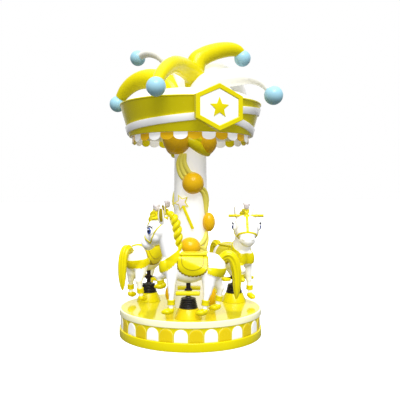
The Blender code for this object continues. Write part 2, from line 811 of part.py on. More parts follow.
SADDLE_THICKNESS = 0.012
FLAP_FRONT = 0.105
FLAP_BACK = -0.235
FLAP_BOTTOM = 0.41
FLAP_TOP = 0.60
SEAT_FRONT = 0.055
SEAT_TOP = 0.68


def make_saddle(casting):
    """A padded blanket that hugs the casting, with a raised cantle and pommel."""
    middle = (FLAP_FRONT + FLAP_BACK) / 2
    half = (FLAP_FRONT - FLAP_BACK) / 2
    outline = [(FLAP_FRONT, FLAP_TOP), (SEAT_FRONT, SEAT_TOP), (FLAP_BACK, SEAT_TOP)]
    low = FLAP_BOTTOM + half * 0.75
    for a in arc(math.pi, 2 * math.pi, 9):
        outline.append((middle + half * math.cos(a), low + half * 0.75 * math.sin(a)))
    side = outline_prism("saddle_outline", outline, 0.6)
    side.data.transform(Matrix.Rotation(math.pi / 2, 4, "X"))
    saddle = boolean(swollen(casting, SADDLE_THICKNESS), side, "INTERSECT")
    bpy.data.objects.remove(side, do_unlink=True)
    cantle = ball("cantle", (FLAP_BACK + 0.03, 0, 0.630), (0.030, 0.095, 0.046), 12, 6)
    pommel = ball("pommel", (SEAT_FRONT + 0.015, 0, 0.640), (0.026, 0.065, 0.036), 12, 6)
    saddle = united("saddle", [saddle, cantle, pommel])
    return less(saddle, swollen(casting, GAP * 1.5))


def make_mane(casting):
    """A thick braid down the crest of the neck."""
    spots = [Vector(p) for p in ((0.20, 0.01, 1.02), (0.10, 0.03, 0.99), (0.105, 0.05, 0.82), (0.085, 0.04, 0.645))]
    points = bezier(*spots, 9)
    radii = [between([(0, 0.026), (0.3, 0.046), (0.7, 0.048), (1, 0.030)], t) for t in arc(0, 1, 9)]
    return less(tube("mane", points, radii, 3), swollen(casting, GAP * 1.5))


def make_tail(casting):
    """An arched tail that falls behind the rump."""
    spots = [Vector(p) for p in ((-0.31, 0, 0.555), (-0.40, 0, 0.76), (-0.50, 0, 0.56), (-0.47, 0, 0.235))]
    points = bezier(*spots, 10)
    radii = [between([(0, 0.034), (0.35, 0.046), (0.75, 0.044), (1, 0.014)], t) for t in arc(0, 1, 10)]
    return less(tube("tail", points, radii, 3), swollen(casting, GAP * 1.5))


def make_plume(casting):
    """A forehead ornament with a feather on it."""
    ornament = ball("plume", (0.315, 0, 0.975), (0.034, 0.038, 0.045), 8, 6)
    feather = ball("feather", (0.322, 0, 1.040), (0.022, 0.014, 0.045), 8, 6)
    return less(with_head(united("plume", [ornament, feather])), swollen(casting, GAP * 1.5))


FOOTREST_HEIGHT = 0.264
FOOTREST_OFFSET = 0.15
FOOTREST_SIZE = (0.222, 0.085, 0.036)
HUB_RADIUS = 0.036
AXLE_RADIUS = 0.013


def make_footrest():
    """Two foot plates on an axle, whose hub is clamped round the post."""
    hub = screw("hub", [(HUB_RADIUS, 0.02), (HUB_RADIUS, -0.02), (0.01, -0.02), (0.01, 0.02)], POST_STEPS)
    hub.data.transform(Matrix.Translation((0, 0, FOOTREST_HEIGHT)))
    axle = tube("axle", [(0, -FOOTREST_OFFSET, FOOTREST_HEIGHT), (0, FOOTREST_OFFSET, FOOTREST_HEIGHT)],
                [AXLE_RADIUS] * 2, 2)
    plates = [
        box("plate", (0, side * FOOTREST_OFFSET, FOOTREST_HEIGHT), FOOTREST_SIZE, 0.012)
        for side in (-1, 1)
    ]
    footrest = united("footrest", [hub, axle, *plates])
    return less(footrest, post_space(FOOTREST_HEIGHT - 0.1, FOOTREST_HEIGHT + 0.1))


def post_space(bottom, top, radius=None):
    radius = radius or POST_RADIUS + GAP
    return screw("post_space", [(0, top), (radius, top), (radius, bottom), (0, bottom)], POST_STEPS)


def make_post():
    return post_space(POST_BOTTOM, POST_TOP, POST_RADIUS)


def make_handlebar():
    x, z = HANDLEBAR_PLACE
    half = HANDLEBAR_SPAN / 2
    return with_head(tube("handlebar", [(x, -half, z), (x, half, z)], [HANDLEBAR_RADIUS] * 2, 2))


def make_pedestal():
    foot = GAP
    bore = bore_radius()
    profile = [
        (PEDESTAL_HEAD - 0.006, PEDESTAL_HEIGHT),
        (PEDESTAL_HEAD, PEDESTAL_HEIGHT - 0.006),
        (PEDESTAL_FOOT, foot),
    ]
    outer = screw("pedestal", [(0, PEDESTAL_HEIGHT), *profile, (0, foot)], SMALL_STEPS)
    return less(outer, post_space(-0.05, PEDESTAL_HEIGHT + 0.05, bore))


def make_bellows():
    """Folded rubber between the pedestal and a neck on the post."""
    bottom = PEDESTAL_HEIGHT + GAP
    pitch = (BELLOWS_TOP - bottom) / BELLOWS_RINGS
    profile = []
    for i in range(BELLOWS_RINGS):
        share = i / (BELLOWS_RINGS - 1)
        radius = BELLOWS_HEAD + (BELLOWS_FOOT - BELLOWS_HEAD) * share
        top = BELLOWS_TOP - i * pitch
        profile += [(radius - 0.012, top), (radius, top - pitch * 0.5)]
    profile.append((BELLOWS_FOOT - 0.012, bottom))
    neck = POST_RADIUS + GAP
    profile += [(BELLOWS_BORE, bottom), (BELLOWS_BORE, BELLOWS_TOP - 0.012), (neck, BELLOWS_TOP - 0.012)]
    profile.append((neck, BELLOWS_TOP))
    return screw("bellows", profile, POST_STEPS)


def make_horses():
    casting = make_casting()
    saddle = make_saddle(casting)
    mane = less(make_mane(casting), swollen(saddle, GAP))
    tail = make_tail(casting)
    plume = make_plume(casting)
    x, z = HANDLEBAR_PLACE
    bar_space = with_head(tube("bar_space", [(x, -0.3, z), (x, 0.3, z)], [HANDLEBAR_RADIUS + GAP] * 2, 2))
    casting = less(casting, bar_space, keep=True)
    mane = less(mane, bar_space, keep=True)
    plume = less(plume, bar_space)
    casting = less(casting, post_space(0.2, POST_TOP + GAP))
    pieces = {
        "casting": (casting, WHITE),
        "saddle": (saddle, YELLOW),
        "mane": (mane, YELLOW),
        "tail": (tail, YELLOW),
        "plume": (plume, YELLOW),
        "handlebar": (make_handlebar(), YELLOW),
        "footrest": (make_footrest(), YELLOW),
        "post": (make_post(), DARK_STEEL),
        "pedestal": (make_pedestal(), YELLOW),
        "bellows": (make_bellows(), BLACK_RUBBER),
    }
    for number, azimuth in enumerate(HORSE_AZIMUTHS, 1):
        place = Matrix.Translation(on_azimuth(azimuth, POST_CIRCLE, DECK_TOP)) @ turn_to(azimuth)
        for piece, (obj, material) in pieces.items():
            name = f"horse_{number}_{piece}"
            placed = copy_of(obj, name)
            placed.data.transform(place)
            finish(placed, name, material)
    for obj, _ in pieces.values():
        bpy.data.objects.remove(obj, do_unlink=True)


def main():
    make_base()
    make_deck()
    make_column()
    column = bpy.data.objects["column"]
    make_wand(column)
    crown = make_canopy()
    beside_garland = [column, bpy.data.objects["canopy_ceiling"]]
    make_garland("garland_front", 0, beside_garland)
    make_garland("garland_back", math.pi, beside_garland)
    make_valance()
    band = bpy.data.objects["canopy_band"]
    ribbon = make_ribbon(band)
    make_sign(band, ribbon)
    make_horns(crown)
    make_horses()


main()
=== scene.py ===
import math

import bmesh
import bpy
from mathutils import Matrix, Vector
from mathutils.bvhtree import BVHTree


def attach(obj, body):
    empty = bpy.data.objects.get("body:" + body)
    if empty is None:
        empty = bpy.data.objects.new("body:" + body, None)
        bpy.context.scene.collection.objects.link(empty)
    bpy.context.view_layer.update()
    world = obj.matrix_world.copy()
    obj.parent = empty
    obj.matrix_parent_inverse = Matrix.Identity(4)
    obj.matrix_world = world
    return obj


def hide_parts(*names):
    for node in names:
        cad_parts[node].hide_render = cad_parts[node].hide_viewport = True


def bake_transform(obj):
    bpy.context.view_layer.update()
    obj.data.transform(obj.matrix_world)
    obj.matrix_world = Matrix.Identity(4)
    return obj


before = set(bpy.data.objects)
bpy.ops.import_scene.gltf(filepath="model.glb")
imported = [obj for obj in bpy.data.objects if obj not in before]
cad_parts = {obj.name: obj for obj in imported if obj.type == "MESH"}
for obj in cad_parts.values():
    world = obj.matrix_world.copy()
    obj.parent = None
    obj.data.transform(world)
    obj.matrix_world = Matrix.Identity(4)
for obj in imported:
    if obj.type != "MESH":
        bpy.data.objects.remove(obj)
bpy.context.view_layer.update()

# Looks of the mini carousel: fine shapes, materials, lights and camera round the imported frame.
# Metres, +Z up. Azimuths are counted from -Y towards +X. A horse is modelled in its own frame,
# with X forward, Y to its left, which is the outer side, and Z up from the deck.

# Values shared with the solids
BASE_RADIUS = 0.75
BASE_INNER = 0.70
PLINTH_TOP = 0.085
BAND_RADIUS = 0.738
RIM_BOTTOM = 0.224
DECK_TOP = 0.283
ARCH_COUNT = 32
FIRST_ARCH = math.radians(-5.5)
HORSE_AZIMUTHS = [math.radians(a) for a in (-23, 97, 217)]
POST_CIRCLE = 0.55
POST_RADIUS = 0.022
POST_BOTTOM = -0.15
POST_TOP = 0.37
PEDESTAL_HEIGHT = 0.095
BELLOWS_BOTTOM = 0.0953
BELLOWS_TOP = 0.206
COLUMN_FOOT = 0.188
COLUMN_HEAD = 0.170
COLUMN_TAPER_TOP = 1.84
CEILING_BOTTOM = 2.079
CANOPY_TOP = 2.417
CANOPY_FOOT = 0.649
CANOPY_RIM = 0.75
VALANCE_RADIUS = 0.619
VALANCE_WALL = 0.008
VALANCE_DROP = 0.071
VALANCE_NOTCH = 0.028
SCALLOPS = 28
FIRST_SCALLOP = math.radians(-17)
CROWN_EDGE = 2.40
CROWN_PROFILE = ((0.66, 2.46), (0.60, 2.50), (0.45, 2.53), (0.0, 2.545))
BALL_RADIUS = 0.092


# Materials

def plastic(name, colour, roughness=0.2, mottle=0.05, coat=0.03, peel=0.05, wear=0.12):
    """Gel-coated glass fibre: pigment that drifts a little, fine scuffs, orange peel, paler edges."""
    material = bpy.data.materials.new(name)
    material.use_nodes = True
    nodes = material.node_tree.nodes
    link = material.node_tree.links.new
    shader = nodes["Principled BSDF"]
    coords = nodes.new("ShaderNodeTexCoord")

    def noise(scale, detail, grain):
        made = nodes.new("ShaderNodeTexNoise")
        made.inputs["Scale"].default_value = scale
        made.inputs["Detail"].default_value = detail
        made.inputs["Roughness"].default_value = grain
        link(coords.outputs["Object"], made.inputs["Vector"])
        return made.outputs["Fac"]

    drift = nodes.new("ShaderNodeValToRGB")
    drift.color_ramp.elements[0].position = 0.3
    drift.color_ramp.elements[0].color = (*[max(0, c * (1 - mottle)) for c in colour], 1)
    drift.color_ramp.elements[1].position = 0.7
    drift.color_ramp.elements[1].color = (*[min(1, c * (1 + mottle * 0.5)) for c in colour], 1)
    link(noise(2.5, 4, 0.55), drift.inputs["Fac"])

    geometry = nodes.new("ShaderNodeNewGeometry")
    edge = nodes.new("ShaderNodeMapRange")
    edge.inputs["From Min"].default_value = 0.56
    edge.inputs["From Max"].default_value = 0.72
    edge.inputs["To Max"].default_value = wear
    link(geometry.outputs["Pointiness"], edge.inputs["Value"])
    worn = nodes.new("ShaderNodeMix")
    worn.data_type = "RGBA"
    worn.inputs["B"].default_value = (*[0.6 + 0.4 * c for c in colour], 1)
    link(edge.outputs["Result"], worn.inputs["Factor"])
    link(drift.outputs["Color"], worn.inputs["A"])
    link(worn.outputs["Result"], shader.inputs["Base Color"])

    scuff = nodes.new("ShaderNodeMapRange")
    scuff.inputs["From Min"].default_value = 0.35
    scuff.inputs["From Max"].default_value = 0.75
    scuff.inputs["To Min"].default_value = roughness * 0.85
    scuff.inputs["To Max"].default_value = roughness * 1.5
    link(noise(28, 8, 0.7), scuff.inputs["Value"])
    link(scuff.outputs["Result"], shader.inputs["Roughness"])

    bump = nodes.new("ShaderNodeBump")
    bump.inputs["Strength"].default_value = peel
    bump.inputs["Distance"].default_value = 0.0006
    link(noise(160, 2, 0.5), bump.inputs["Height"])
    link(bump.outputs["Normal"], shader.inputs["Normal"])
    shader.inputs["Specular IOR Level"].default_value = 0.2
    shader.inputs["Coat Weight"].default_value = coat
    shader.inputs["Coat Roughness"].default_value = 0.06
    return material


def painted_steel(name, colour, roughness, metallic):
    """Painted or blackened steel with fine scuffs."""
    material = plastic(name, colour, roughness, 0.15, 0.0, 0.15, 0.3)
    material.node_tree.nodes["Principled BSDF"].inputs["Metallic"].default_value = metallic
    return material


def rubber(name):
    """Black rubber, paler on the folds' crests."""
    material = plastic(name, (0.010, 0.009, 0.010), 0.32, 0.3, 0.0, 0.3, 0.25)
    material.node_tree.nodes["Principled BSDF"].inputs["Specular IOR Level"].default_value = 0.7
    return material


YELLOW = plastic("yellow_plastic", (0.64, 0.555, 0.002), 0.22)
GOLD = plastic("gold_plastic", (0.66, 0.50, 0.005), 0.22)
# Gold darkened to serve as painted shade: the thin line round the blanket panel, the scalloped edge under the
# blanket and the ear hollows.
SHADE_GOLD = plastic("gold_painted_shade", (0.30, 0.23, 0.004), 0.3)
ORANGE = plastic("orange_plastic", (0.66, 0.39, 0.005), 0.22)
PALE = plastic("pale_yellow_plastic", (0.64, 0.57, 0.09), 0.24)
WHITE = plastic("white_plastic", (0.90, 0.90, 0.90), 0.22, 0.025)
RIM = plastic("rim_plastic", (0.86, 0.84, 0.55), 0.24, 0.03)
CREAM = plastic("cream_plastic", (0.88, 0.87, 0.82), 0.24, 0.03)
BLUE = plastic("blue_plastic", (0.31, 0.55, 0.66), 0.18)
DECK = plastic("deck_plastic", (0.66, 0.575, 0.002), 0.10, 0.04, 0.35, 0.02)
PEARL = plastic("pearl_plastic", (0.72, 0.66, 0.66), 0.2)
INK = plastic("eye_ink", (0.01, 0.012, 0.02), 0.1, 0.3)
IRIS = plastic("eye_iris", (0.03, 0.07, 0.28), 0.08, 0.5, 0.8)
EYE_WHITE = plastic("eye_white", (0.92, 0.93, 0.95), 0.08, 0.02, 0.8)
RUBBER = rubber("black_rubber")
STEEL = painted_steel("dark_steel", (0.03, 0.02, 0.02), 0.35, 0.6)
GREY = painted_steel("grey_steel", (0.30, 0.30, 0.31), 0.45, 0.4)


# Mesh helpers

def arc(start, end, count):
    return [start + (end - start) * i / (count - 1) for i in range(count)]


def on_azimuth(azimuth, radius, height=0.0):
    return Vector((radius * math.sin(azimuth), -radius * math.cos(azimuth), height))


def between(knots, x):
    """The value at x of a line through (x, value) knots."""
    for (x0, y0), (x1, y1) in zip(knots, knots[1:]):
        if x <= x1:
            return y0 + (y1 - y0) * (x - x0) / (x1 - x0)
    return knots[-1][1]


def smooth_between(knots, x):
    """As between, but on a smooth curve through the knots."""
    for i, ((x0, y0), (x1, y1)) in enumerate(zip(knots, knots[1:])):
        if x <= x1:
            before = knots[max(0, i - 1)]
            after = knots[min(len(knots) - 1, i + 2)]
            span = x1 - x0
            m0 = (y1 - before[1]) / (x1 - before[0]) * span
            m1 = (after[1] - y0) / (after[0] - x0) * span
            t = (x - x0) / span
            return ((2 * t**3 - 3 * t**2 + 1) * y0 + (t**3 - 2 * t**2 + t) * m0
                    + (3 * t**2 - 2 * t**3) * y1 + (t**3 - t**2) * m1)
    return knots[-1][1]


def bezier(p0, p1, p2, p3, count):
    points = []
    for t in arc(0, 1, count):
        s = 1 - t
        points.append(s**3 * p0 + 3 * s * s * t * p1 + 3 * s * t * t * p2 + t**3 * p3)
    return points


def through(spots, count):
    """Evenly counted points on a smooth curve through spots."""
    spots = [Vector(p) for p in spots]
    knots = [[(i, p[axis]) for i, p in enumerate(spots)] for axis in range(3)]
    return [Vector([smooth_between(k, t) for k in knots]) for t in arc(0, len(spots) - 1, count)]


def mesh_of(points, faces, name="work"):
    mesh = bpy.data.meshes.new(name)
    mesh.from_pydata([tuple(p) for p in points], [], faces)
    work = bmesh.new()
    work.from_mesh(mesh)
    bmesh.ops.remove_doubles(work, verts=work.verts, dist=0.00001)
    bmesh.ops.recalc_face_normals(work, faces=work.faces)
    work.to_mesh(mesh)
    work.free()
    return mesh


def merged(meshes):
    """One mesh from several, in place of them."""
    work = bmesh.new()
    for mesh in meshes:
        work.from_mesh(mesh)
    result = bpy.data.meshes.new("work")
    work.to_mesh(result)
    work.free()
    return result


def moved(mesh, matrix):
    result = mesh.copy()
    result.transform(matrix)
    return result


def piece(name, mesh, material, body, replaces=(), angle=35):
    """Makes an object that rides on a body, in the given material."""
    mesh.name = name
    mesh.materials.clear()
    for each in material if isinstance(material, (list, tuple)) else [material]:
        mesh.materials.append(each)
    mesh.shade_smooth()
    mesh.set_sharp_from_angle(angle=math.radians(angle))
    obj = bpy.data.objects.new(name, mesh)
    bpy.context.scene.collection.objects.link(obj)
    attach(obj, body)
    if replaces:
        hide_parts(*replaces)
    return obj


def lathe(profile, steps, closed=True, start=0.0):
    """A turned skin. The profile is (radius, height); a radius of 0 is a pole."""
    points = []
    rings = []
    for radius, height in profile:
        if radius == 0:
            points.append(Vector((0, 0, height)))
            rings.append([len(points) - 1] * steps)
            continue
        rings.append(list(range(len(points), len(points) + steps)))
        for i in range(steps):
            angle = start + 2 * math.pi * i / steps
            points.append(Vector((radius * math.cos(angle), radius * math.sin(angle), height)))
    pairs = list(zip(rings, rings[1:]))
    if closed:
        pairs.append((rings[-1], rings[0]))
    faces = []
    for low, high in pairs:
        for i in range(steps):
            j = (i + 1) % steps
            corners = list(dict.fromkeys((low[i], low[j], high[j], high[i])))
            if len(corners) > 2:
                faces.append(corners)
    return mesh_of(points, faces)


def rounded(profile, radius, count=4):
    """The closed profile with each corner rounded, as far as its sides allow."""
    result = []
    total = len(profile)
    for i, corner in enumerate(profile):
        if corner[0] == 0:
            result.append(corner)
            continue
        here = Vector(corner)
        before = Vector(profile[i - 1]) - here
        after = Vector(profile[(i + 1) % total]) - here
        reach = min(radius, before.length * 0.45, after.length * 0.45)
        first = here + before.normalized() * reach
        last = here + after.normalized() * reach
        for t in arc(0, 1, count):
            point = (1 - t) ** 2 * first + 2 * t * (1 - t) * here + t * t * last
            result.append((point.x, point.y))
    return result


def frames_along(points):
    """For each point, two directions across the path that turn as little as they can."""
    ways = []
    for i in range(len(points)):
        way = points[min(i + 1, len(points) - 1)] - points[max(i - 1, 0)]
        ways.append(way.normalized())
    side = ways[0].orthogonal().normalized()
    frames = []
    for way in ways:
        side = (side - way * side.dot(way)).normalized()
        frames.append((side, way.cross(side)))
    return frames


def sweep(points, radii, sides=24, lobes=0, depth=0.0, twist=0.0, flat=1.0):
    """A closed tube along points. Lobes groove it lengthwise, and flat squashes it across."""
    rings = []
    spots = []
    frames = frames_along(points)
    for k, (point, radius, (u, v)) in enumerate(zip(points, radii, frames)):
        ring = []
        turn = twist * k / (len(points) - 1)
        for i in range(sides):
            angle = 2 * math.pi * i / sides
            reach = radius * (1 + depth * math.cos(lobes * (angle + turn)))
            ring.append(len(spots))
            spots.append(point + u * math.cos(angle) * reach + v * math.sin(angle) * reach * flat)
        rings.append(ring)
    faces = []
    for low, high in zip(rings, rings[1:]):
        for i in range(sides):
            j = (i + 1) % sides
            faces.append((low[i], low[j], high[j], high[i]))
    for ring, point in ((rings[0], points[0]), (rings[-1], points[-1])):
        centre = len(spots)
        spots.append(point)
        for i in range(sides):
            faces.append((ring[i], ring[(i + 1) % sides], centre))
    return mesh_of(spots, faces)


def round_ended(points, radius, caps=5):
    """Points and radii of a bar whose ends are rounded off."""
    first = (points[1] - points[0]).normalized()
    last = (points[-1] - points[-2]).normalized()
    spots = []
    radii = []
    for a in arc(0, math.pi / 2, caps):
        spots.append(points[0] + first * radius * (1 - math.sin(a)) * 0.6)
        radii.append(max(radius * math.sin(a), 0.0005))
    spots = [points[0] + first * radius * 0.6 * (1 - math.cos(a)) for a in arc(0, math.pi / 2, caps)]
    inner = points[1:-1]
    spots += inner
    radii += [radius] * len(inner)
    spots += [points[-1] - last * radius * 0.6 * (1 - math.cos(a)) for a in arc(math.pi / 2, 0, caps)]
    radii += [max(radius * math.sin(a), 0.0005) for a in arc(math.pi / 2, 0, caps)]
    return spots, radii


def bar(first, last, radius, sides=24):
    """A straight round bar with softened ends."""
    spots, radii = round_ended([Vector(p) for p in through([first, last], 4)], radius)
    return sweep(spots, radii, sides)


def ellipsoid(centre, radii, segments=40, rings=24, turn=None):
    mesh = bpy.data.meshes.new("work")
    work = bmesh.new()
    bmesh.ops.create_uvsphere(work, u_segments=segments, v_segments=rings, radius=1.0)
    bmesh.ops.scale(work, vec=radii, verts=work.verts)
    if turn is not None:
        bmesh.ops.transform(work, matrix=turn, verts=work.verts)
    bmesh.ops.translate(work, vec=centre, verts=work.verts)
    work.to_mesh(mesh)
    work.free()
    return mesh


def prism(outline, depth, bevel=0.0, segments=3):
    """A flat outline in X and Y, extruded along Z about its plane, with rounded edges."""
    mesh = bpy.data.meshes.new("work")
    work = bmesh.new()
    face = work.faces.new([work.verts.new((x, y, -depth / 2)) for x, y in outline])
    made = bmesh.ops.extrude_face_region(work, geom=[face])
    tops = [v for v in made["geom"] if isinstance(v, bmesh.types.BMVert)]
    bmesh.ops.translate(work, vec=(0, 0, depth), verts=tops)
    bmesh.ops.recalc_face_normals(work, faces=work.faces)
    if bevel:
        edges = [e for e in work.edges if abs(e.verts[0].co.z - e.verts[1].co.z) < 1e-9]
        bmesh.ops.bevel(work, geom=edges, offset=bevel, segments=segments, affect="EDGES", profile=0.5)
    work.to_mesh(mesh)
    work.free()
    return mesh


def block(centre, size, bevel, segments=4):
    mesh = bpy.data.meshes.new("work")
    work = bmesh.new()
    bmesh.ops.create_cube(work, size=1.0)
    bmesh.ops.scale(work, vec=size, verts=work.verts)
    bmesh.ops.bevel(work, geom=work.edges, offset=bevel, segments=segments, affect="EDGES", profile=0.5)
    bmesh.ops.translate(work, vec=centre, verts=work.verts)
    work.to_mesh(mesh)
    work.free()
    return mesh


def worked(mesh, *settings):
    """The mesh after modifiers, given as (type, {setting: value})."""
    obj = bpy.data.objects.new("work", mesh)
    bpy.context.scene.collection.objects.link(obj)
    for kind, values in settings:
        modifier = obj.modifiers.new(kind, kind)
        for key, value in values.items():
            setattr(modifier, key, value)
    graph = bpy.context.evaluated_depsgraph_get()
    result = bpy.data.meshes.new_from_object(obj.evaluated_get(graph))
    bpy.data.objects.remove(obj, do_unlink=True)
    return result


def fused(meshes, voxel, smoothing):
    """One smooth skin over overlapping masses."""
    return worked(
        merged(meshes),
        ("REMESH", {"mode": "VOXEL", "voxel_size": voxel}),
        ("SMOOTH", {"factor": 0.5, "iterations": smoothing}),
    )


def combined(mesh, other, operation):
    """An exact Boolean of two meshes."""
    cutter = bpy.data.objects.new("cutter", other)
    bpy.context.scene.collection.objects.link(cutter)
    result = worked(mesh, ("BOOLEAN", {"operation": operation, "solver": "EXACT", "object": cutter}))
    bpy.data.objects.remove(cutter, do_unlink=True)
    return result


def swollen(mesh, distance):
    grown = mesh.copy()
    normals = [v.normal.copy() for v in grown.vertices]
    for vertex, normal in zip(grown.vertices, normals):
        vertex.co += normal * distance
    return grown


# Base and turntable

def arch_grid(azimuth, half_width, bottom, height, radius, proud, edge):
    """A panel with a round head, bent round the base. Its edge slopes back to the wall."""
    columns = 20
    rows = 6
    straight = max(0.0, height - half_width)

    def spot(across, z, out):
        return on_azimuth(azimuth + across / radius, radius + out, z)

    def outline(grow):
        half = half_width + grow
        loop = []
        for i in range(columns + 1):
            across = -half * math.cos(math.pi * i / columns)
            head = math.sqrt(max(0.0, 1 - (across / half) ** 2)) * (height - straight + grow)
            loop.append((across, bottom - grow, bottom + straight + head))
        return loop

    spots = []
    faces = []
    grid = []
    for across, low, high in outline(0):
        grid.append([])
        for j in range(rows + 1):
            grid[-1].append(len(spots))
            spots.append(spot(across, low + (high - low) * j / rows, proud))
    for left, right in zip(grid, grid[1:]):
        for j in range(rows):
            faces.append((left[j], right[j], right[j + 1], left[j + 1]))
    loops = []
    for grow, out in ((0, proud), (edge * 0.6, proud - edge * 0.4), (edge, proud - edge), (edge, -0.004)):
        sides = outline(grow)
        loop = [spot(a, low, out) for a, low, _ in sides] + [spot(a, high, out) for a, _, high in sides[::-1]]
        loops.append(list(range(len(spots), len(spots) + len(loop))))
        spots += loop
    for first, second in zip(loops, loops[1:]):
        for i in range(len(first)):
            j = (i + 1) % len(first)
            faces.append((first[i], first[j], second[j], second[i]))
    return mesh_of(spots, faces)


def make_base():
    plinth = [(BASE_INNER, 0), (BASE_RADIUS, 0), (BASE_RADIUS, PLINTH_TOP), (BASE_INNER, PLINTH_TOP)]
    piece("base_plinth", lathe(rounded(plinth, 0.007), 160), YELLOW, "base", ["plinth"])
    wall = 0.7325
    top = RIM_BOTTOM - 0.005
    ring = [(BASE_INNER, PLINTH_TOP + 0.0003), (wall, PLINTH_TOP + 0.0003), (wall, top), (BASE_INNER, top)]
    piece("arcade_wall", lathe(rounded(ring, 0.002), 160), YELLOW, "base", ["arcade_band"])
    trims = []
    panels = {WHITE: [], ORANGE: []}
    for i in range(ARCH_COUNT):
        azimuth = FIRST_ARCH + 2 * math.pi * i / ARCH_COUNT
        trims.append(arch_grid(azimuth, 0.0685, PLINTH_TOP + 0.003, 0.127, wall, 0.0022, 0.0012))
        colour = ORANGE if i % 2 else WHITE
        panels[colour].append(arch_grid(azimuth, 0.0625, PLINTH_TOP + 0.004, 0.119, wall, 0.005, 0.002))
    piece("arcade_trim", merged(trims), PALE, "base")
    piece("arcade_white_panels", merged(panels[WHITE]), WHITE, "base")
    piece("arcade_orange_panels", merged(panels[ORANGE]), GOLD, "base")


def make_turntable():
    inner = 0.7295
    rim = [(BASE_RADIUS, DECK_TOP + 0.0015), (BASE_RADIUS, RIM_BOTTOM), (inner + 0.004, RIM_BOTTOM),
           (inner + 0.004, DECK_TOP - 0.02), (inner, DECK_TOP - 0.02), (inner, DECK_TOP + 0.0015)]
    piece("deck_rim_cover", lathe(rounded(rim, 0.006), 160), RIM, "turntable", ["deck_rim"])
    column = [
        (0, DECK_TOP), (COLUMN_FOOT, DECK_TOP), (COLUMN_HEAD, COLUMN_TAPER_TOP),
        (COLUMN_HEAD, CEILING_BOTTOM), (0, CEILING_BOTTOM),
    ]
    piece("column_shell", lathe(rounded(column, 0.004), 128, False), WHITE, "turntable", ["column"])


def column_radius(height):
    share = (height - DECK_TOP) / (COLUMN_TAPER_TOP - DECK_TOP)
    return COLUMN_FOOT + (COLUMN_HEAD - COLUMN_FOOT) * min(1, max(0, share))


# Garland: (azimuth in degrees, height, radii, how far its centre stands out from the column)
GARLAND_BALLS = [
    (28, 2.010, (0.110, 0.110, 0.115), 0.050),
    (-59, 2.035, (0.146, 0.146, 0.146), 0.055),
    (-14, 1.590, (0.113, 0.113, 0.113), 0.045),
    (39, 1.185, (0.066, 0.066, 0.100), 0.045),
    (-22, 0.932, (0.108, 0.108, 0.104), 0.045),
    (47, 0.400, (0.058, 0.058, 0.100), 0.045),
]
# Strands: (azimuth, height) along the middle, radius, how far out, and which colour
GARLAND_STRANDS = [
    (((-42, 2.075), (-18, 2.015), (12, 1.945), (40, 1.895)), 0.060, 0.045, "yellow"),
    (((-24, 2.080), (0, 2.040), (24, 1.985), (44, 1.915)), 0.036, 0.062, "yellow"),
    (((-52, 1.905), (-64, 1.800), (-56, 1.690), (-36, 1.600)), 0.026, 0.014, "pale"),
    (((-44, 1.900), (-52, 1.800), (-40, 1.690), (-24, 1.640)), 0.026, 0.020, "pale"),
    (((-37, 1.900), (-40, 1.800), (-24, 1.700), (-4, 1.690)), 0.026, 0.014, "pale"),
    (((2, 1.540), (26, 1.480), (36, 1.380), (38, 1.270)), 0.024, 0.014, "pale"),
    (((8, 1.570), (38, 1.500), (50, 1.390), (44, 1.270)), 0.022, 0.012, "pale"),
    (((40, 1.100), (34, 1.030), (14, 0.960), (-4, 0.950)), 0.024, 0.014, "pale"),
    (((44, 1.080), (42, 0.990), (24, 0.900), (0, 0.890)), 0.022, 0.014, "pale"),
    (((-8, 0.945), (18, 0.915), (42, 0.810), (50, 0.480)), 0.024, 0.014, "pale"),
    (((-8, 0.900), (14, 0.860), (36, 0.760), (45, 0.480)), 0.024, 0.014, "pale"),
]


def garland_point(azimuth, height, out):
    return on_azimuth(math.radians(azimuth), column_radius(height) + out, height)


def make_garland(name, turn):
    """Orange balls on a zigzag of yellow strands that lie against the column."""
    spin = Matrix.Rotation(turn, 4, "Z")
    balls = [ellipsoid(garland_point(a, z, out), radii) for a, z, radii, out in GARLAND_BALLS]
    piece(name + "_balls", moved(merged(balls), spin), ORANGE, "turntable", [name])
    colours = {"yellow": [], "pale": []}
    for spots, radius, out, colour in GARLAND_STRANDS:
        path = [garland_point(a, z, out) for a, z, _ in through([(a, z, 0) for a, z in spots], 28)]
        radii = [radius * (0.45 + 0.55 * math.sin(math.pi * t) ** 0.7) for t in arc(0, 1, 28)]
        colours[colour].append(sweep(path, radii, 20))
    piece(name + "_yellow_strands", moved(merged(colours["yellow"]), spin), YELLOW, "turntable")
    piece(name + "_pale_strands", moved(merged(colours["pale"]), spin), PALE, "turntable")


WAND_AZIMUTH = math.radians(-34)
WAND_LEAN = math.radians(24)
WAND_ASIDE = -0.05
WAND_HEIGHT = 1.39
WAND_STICK = 0.26
STAR_OUTER = 0.088
STAR_INNER = 0.042


def star(outer, inner, count=5):
    points = []
    for i in range(2 * count):
        radius = inner if i % 2 else outer
        angle = math.pi / 2 + i * math.pi / count
        points.append((radius * math.cos(angle), radius * math.sin(angle)))
    return points


def make_wand():
    """A pearly star with a yellow outline, on a flat yellow stick."""
    stand = Matrix.Rotation(math.pi / 2, 4, "X") @ Matrix.Rotation(WAND_LEAN, 4, "Z")
    out = column_radius(WAND_HEIGHT - STAR_INNER - WAND_STICK) + 0.014 - 0.004
    place = Matrix.Translation(on_azimuth(WAND_AZIMUTH, out, WAND_HEIGHT))
    whole = place @ Matrix.Rotation(WAND_AZIMUTH, 4, "Z") @ Matrix.Translation((WAND_ASIDE, 0, 0)) @ stand
    border = prism(star(STAR_OUTER, STAR_INNER), 0.020, 0.003)
    stick = block((0, -STAR_INNER - WAND_STICK / 2 + 0.01, 0), (0.030, WAND_STICK + 0.01, 0.022), 0.006)
    piece("wand_border", moved(merged([border, stick]), whole), YELLOW, "turntable", ["wand"])
    face = prism(star(STAR_OUTER - 0.019, STAR_INNER - 0.009), 0.026, 0.004)
    piece("wand_star", moved(face, whole), PEARL, "turntable")


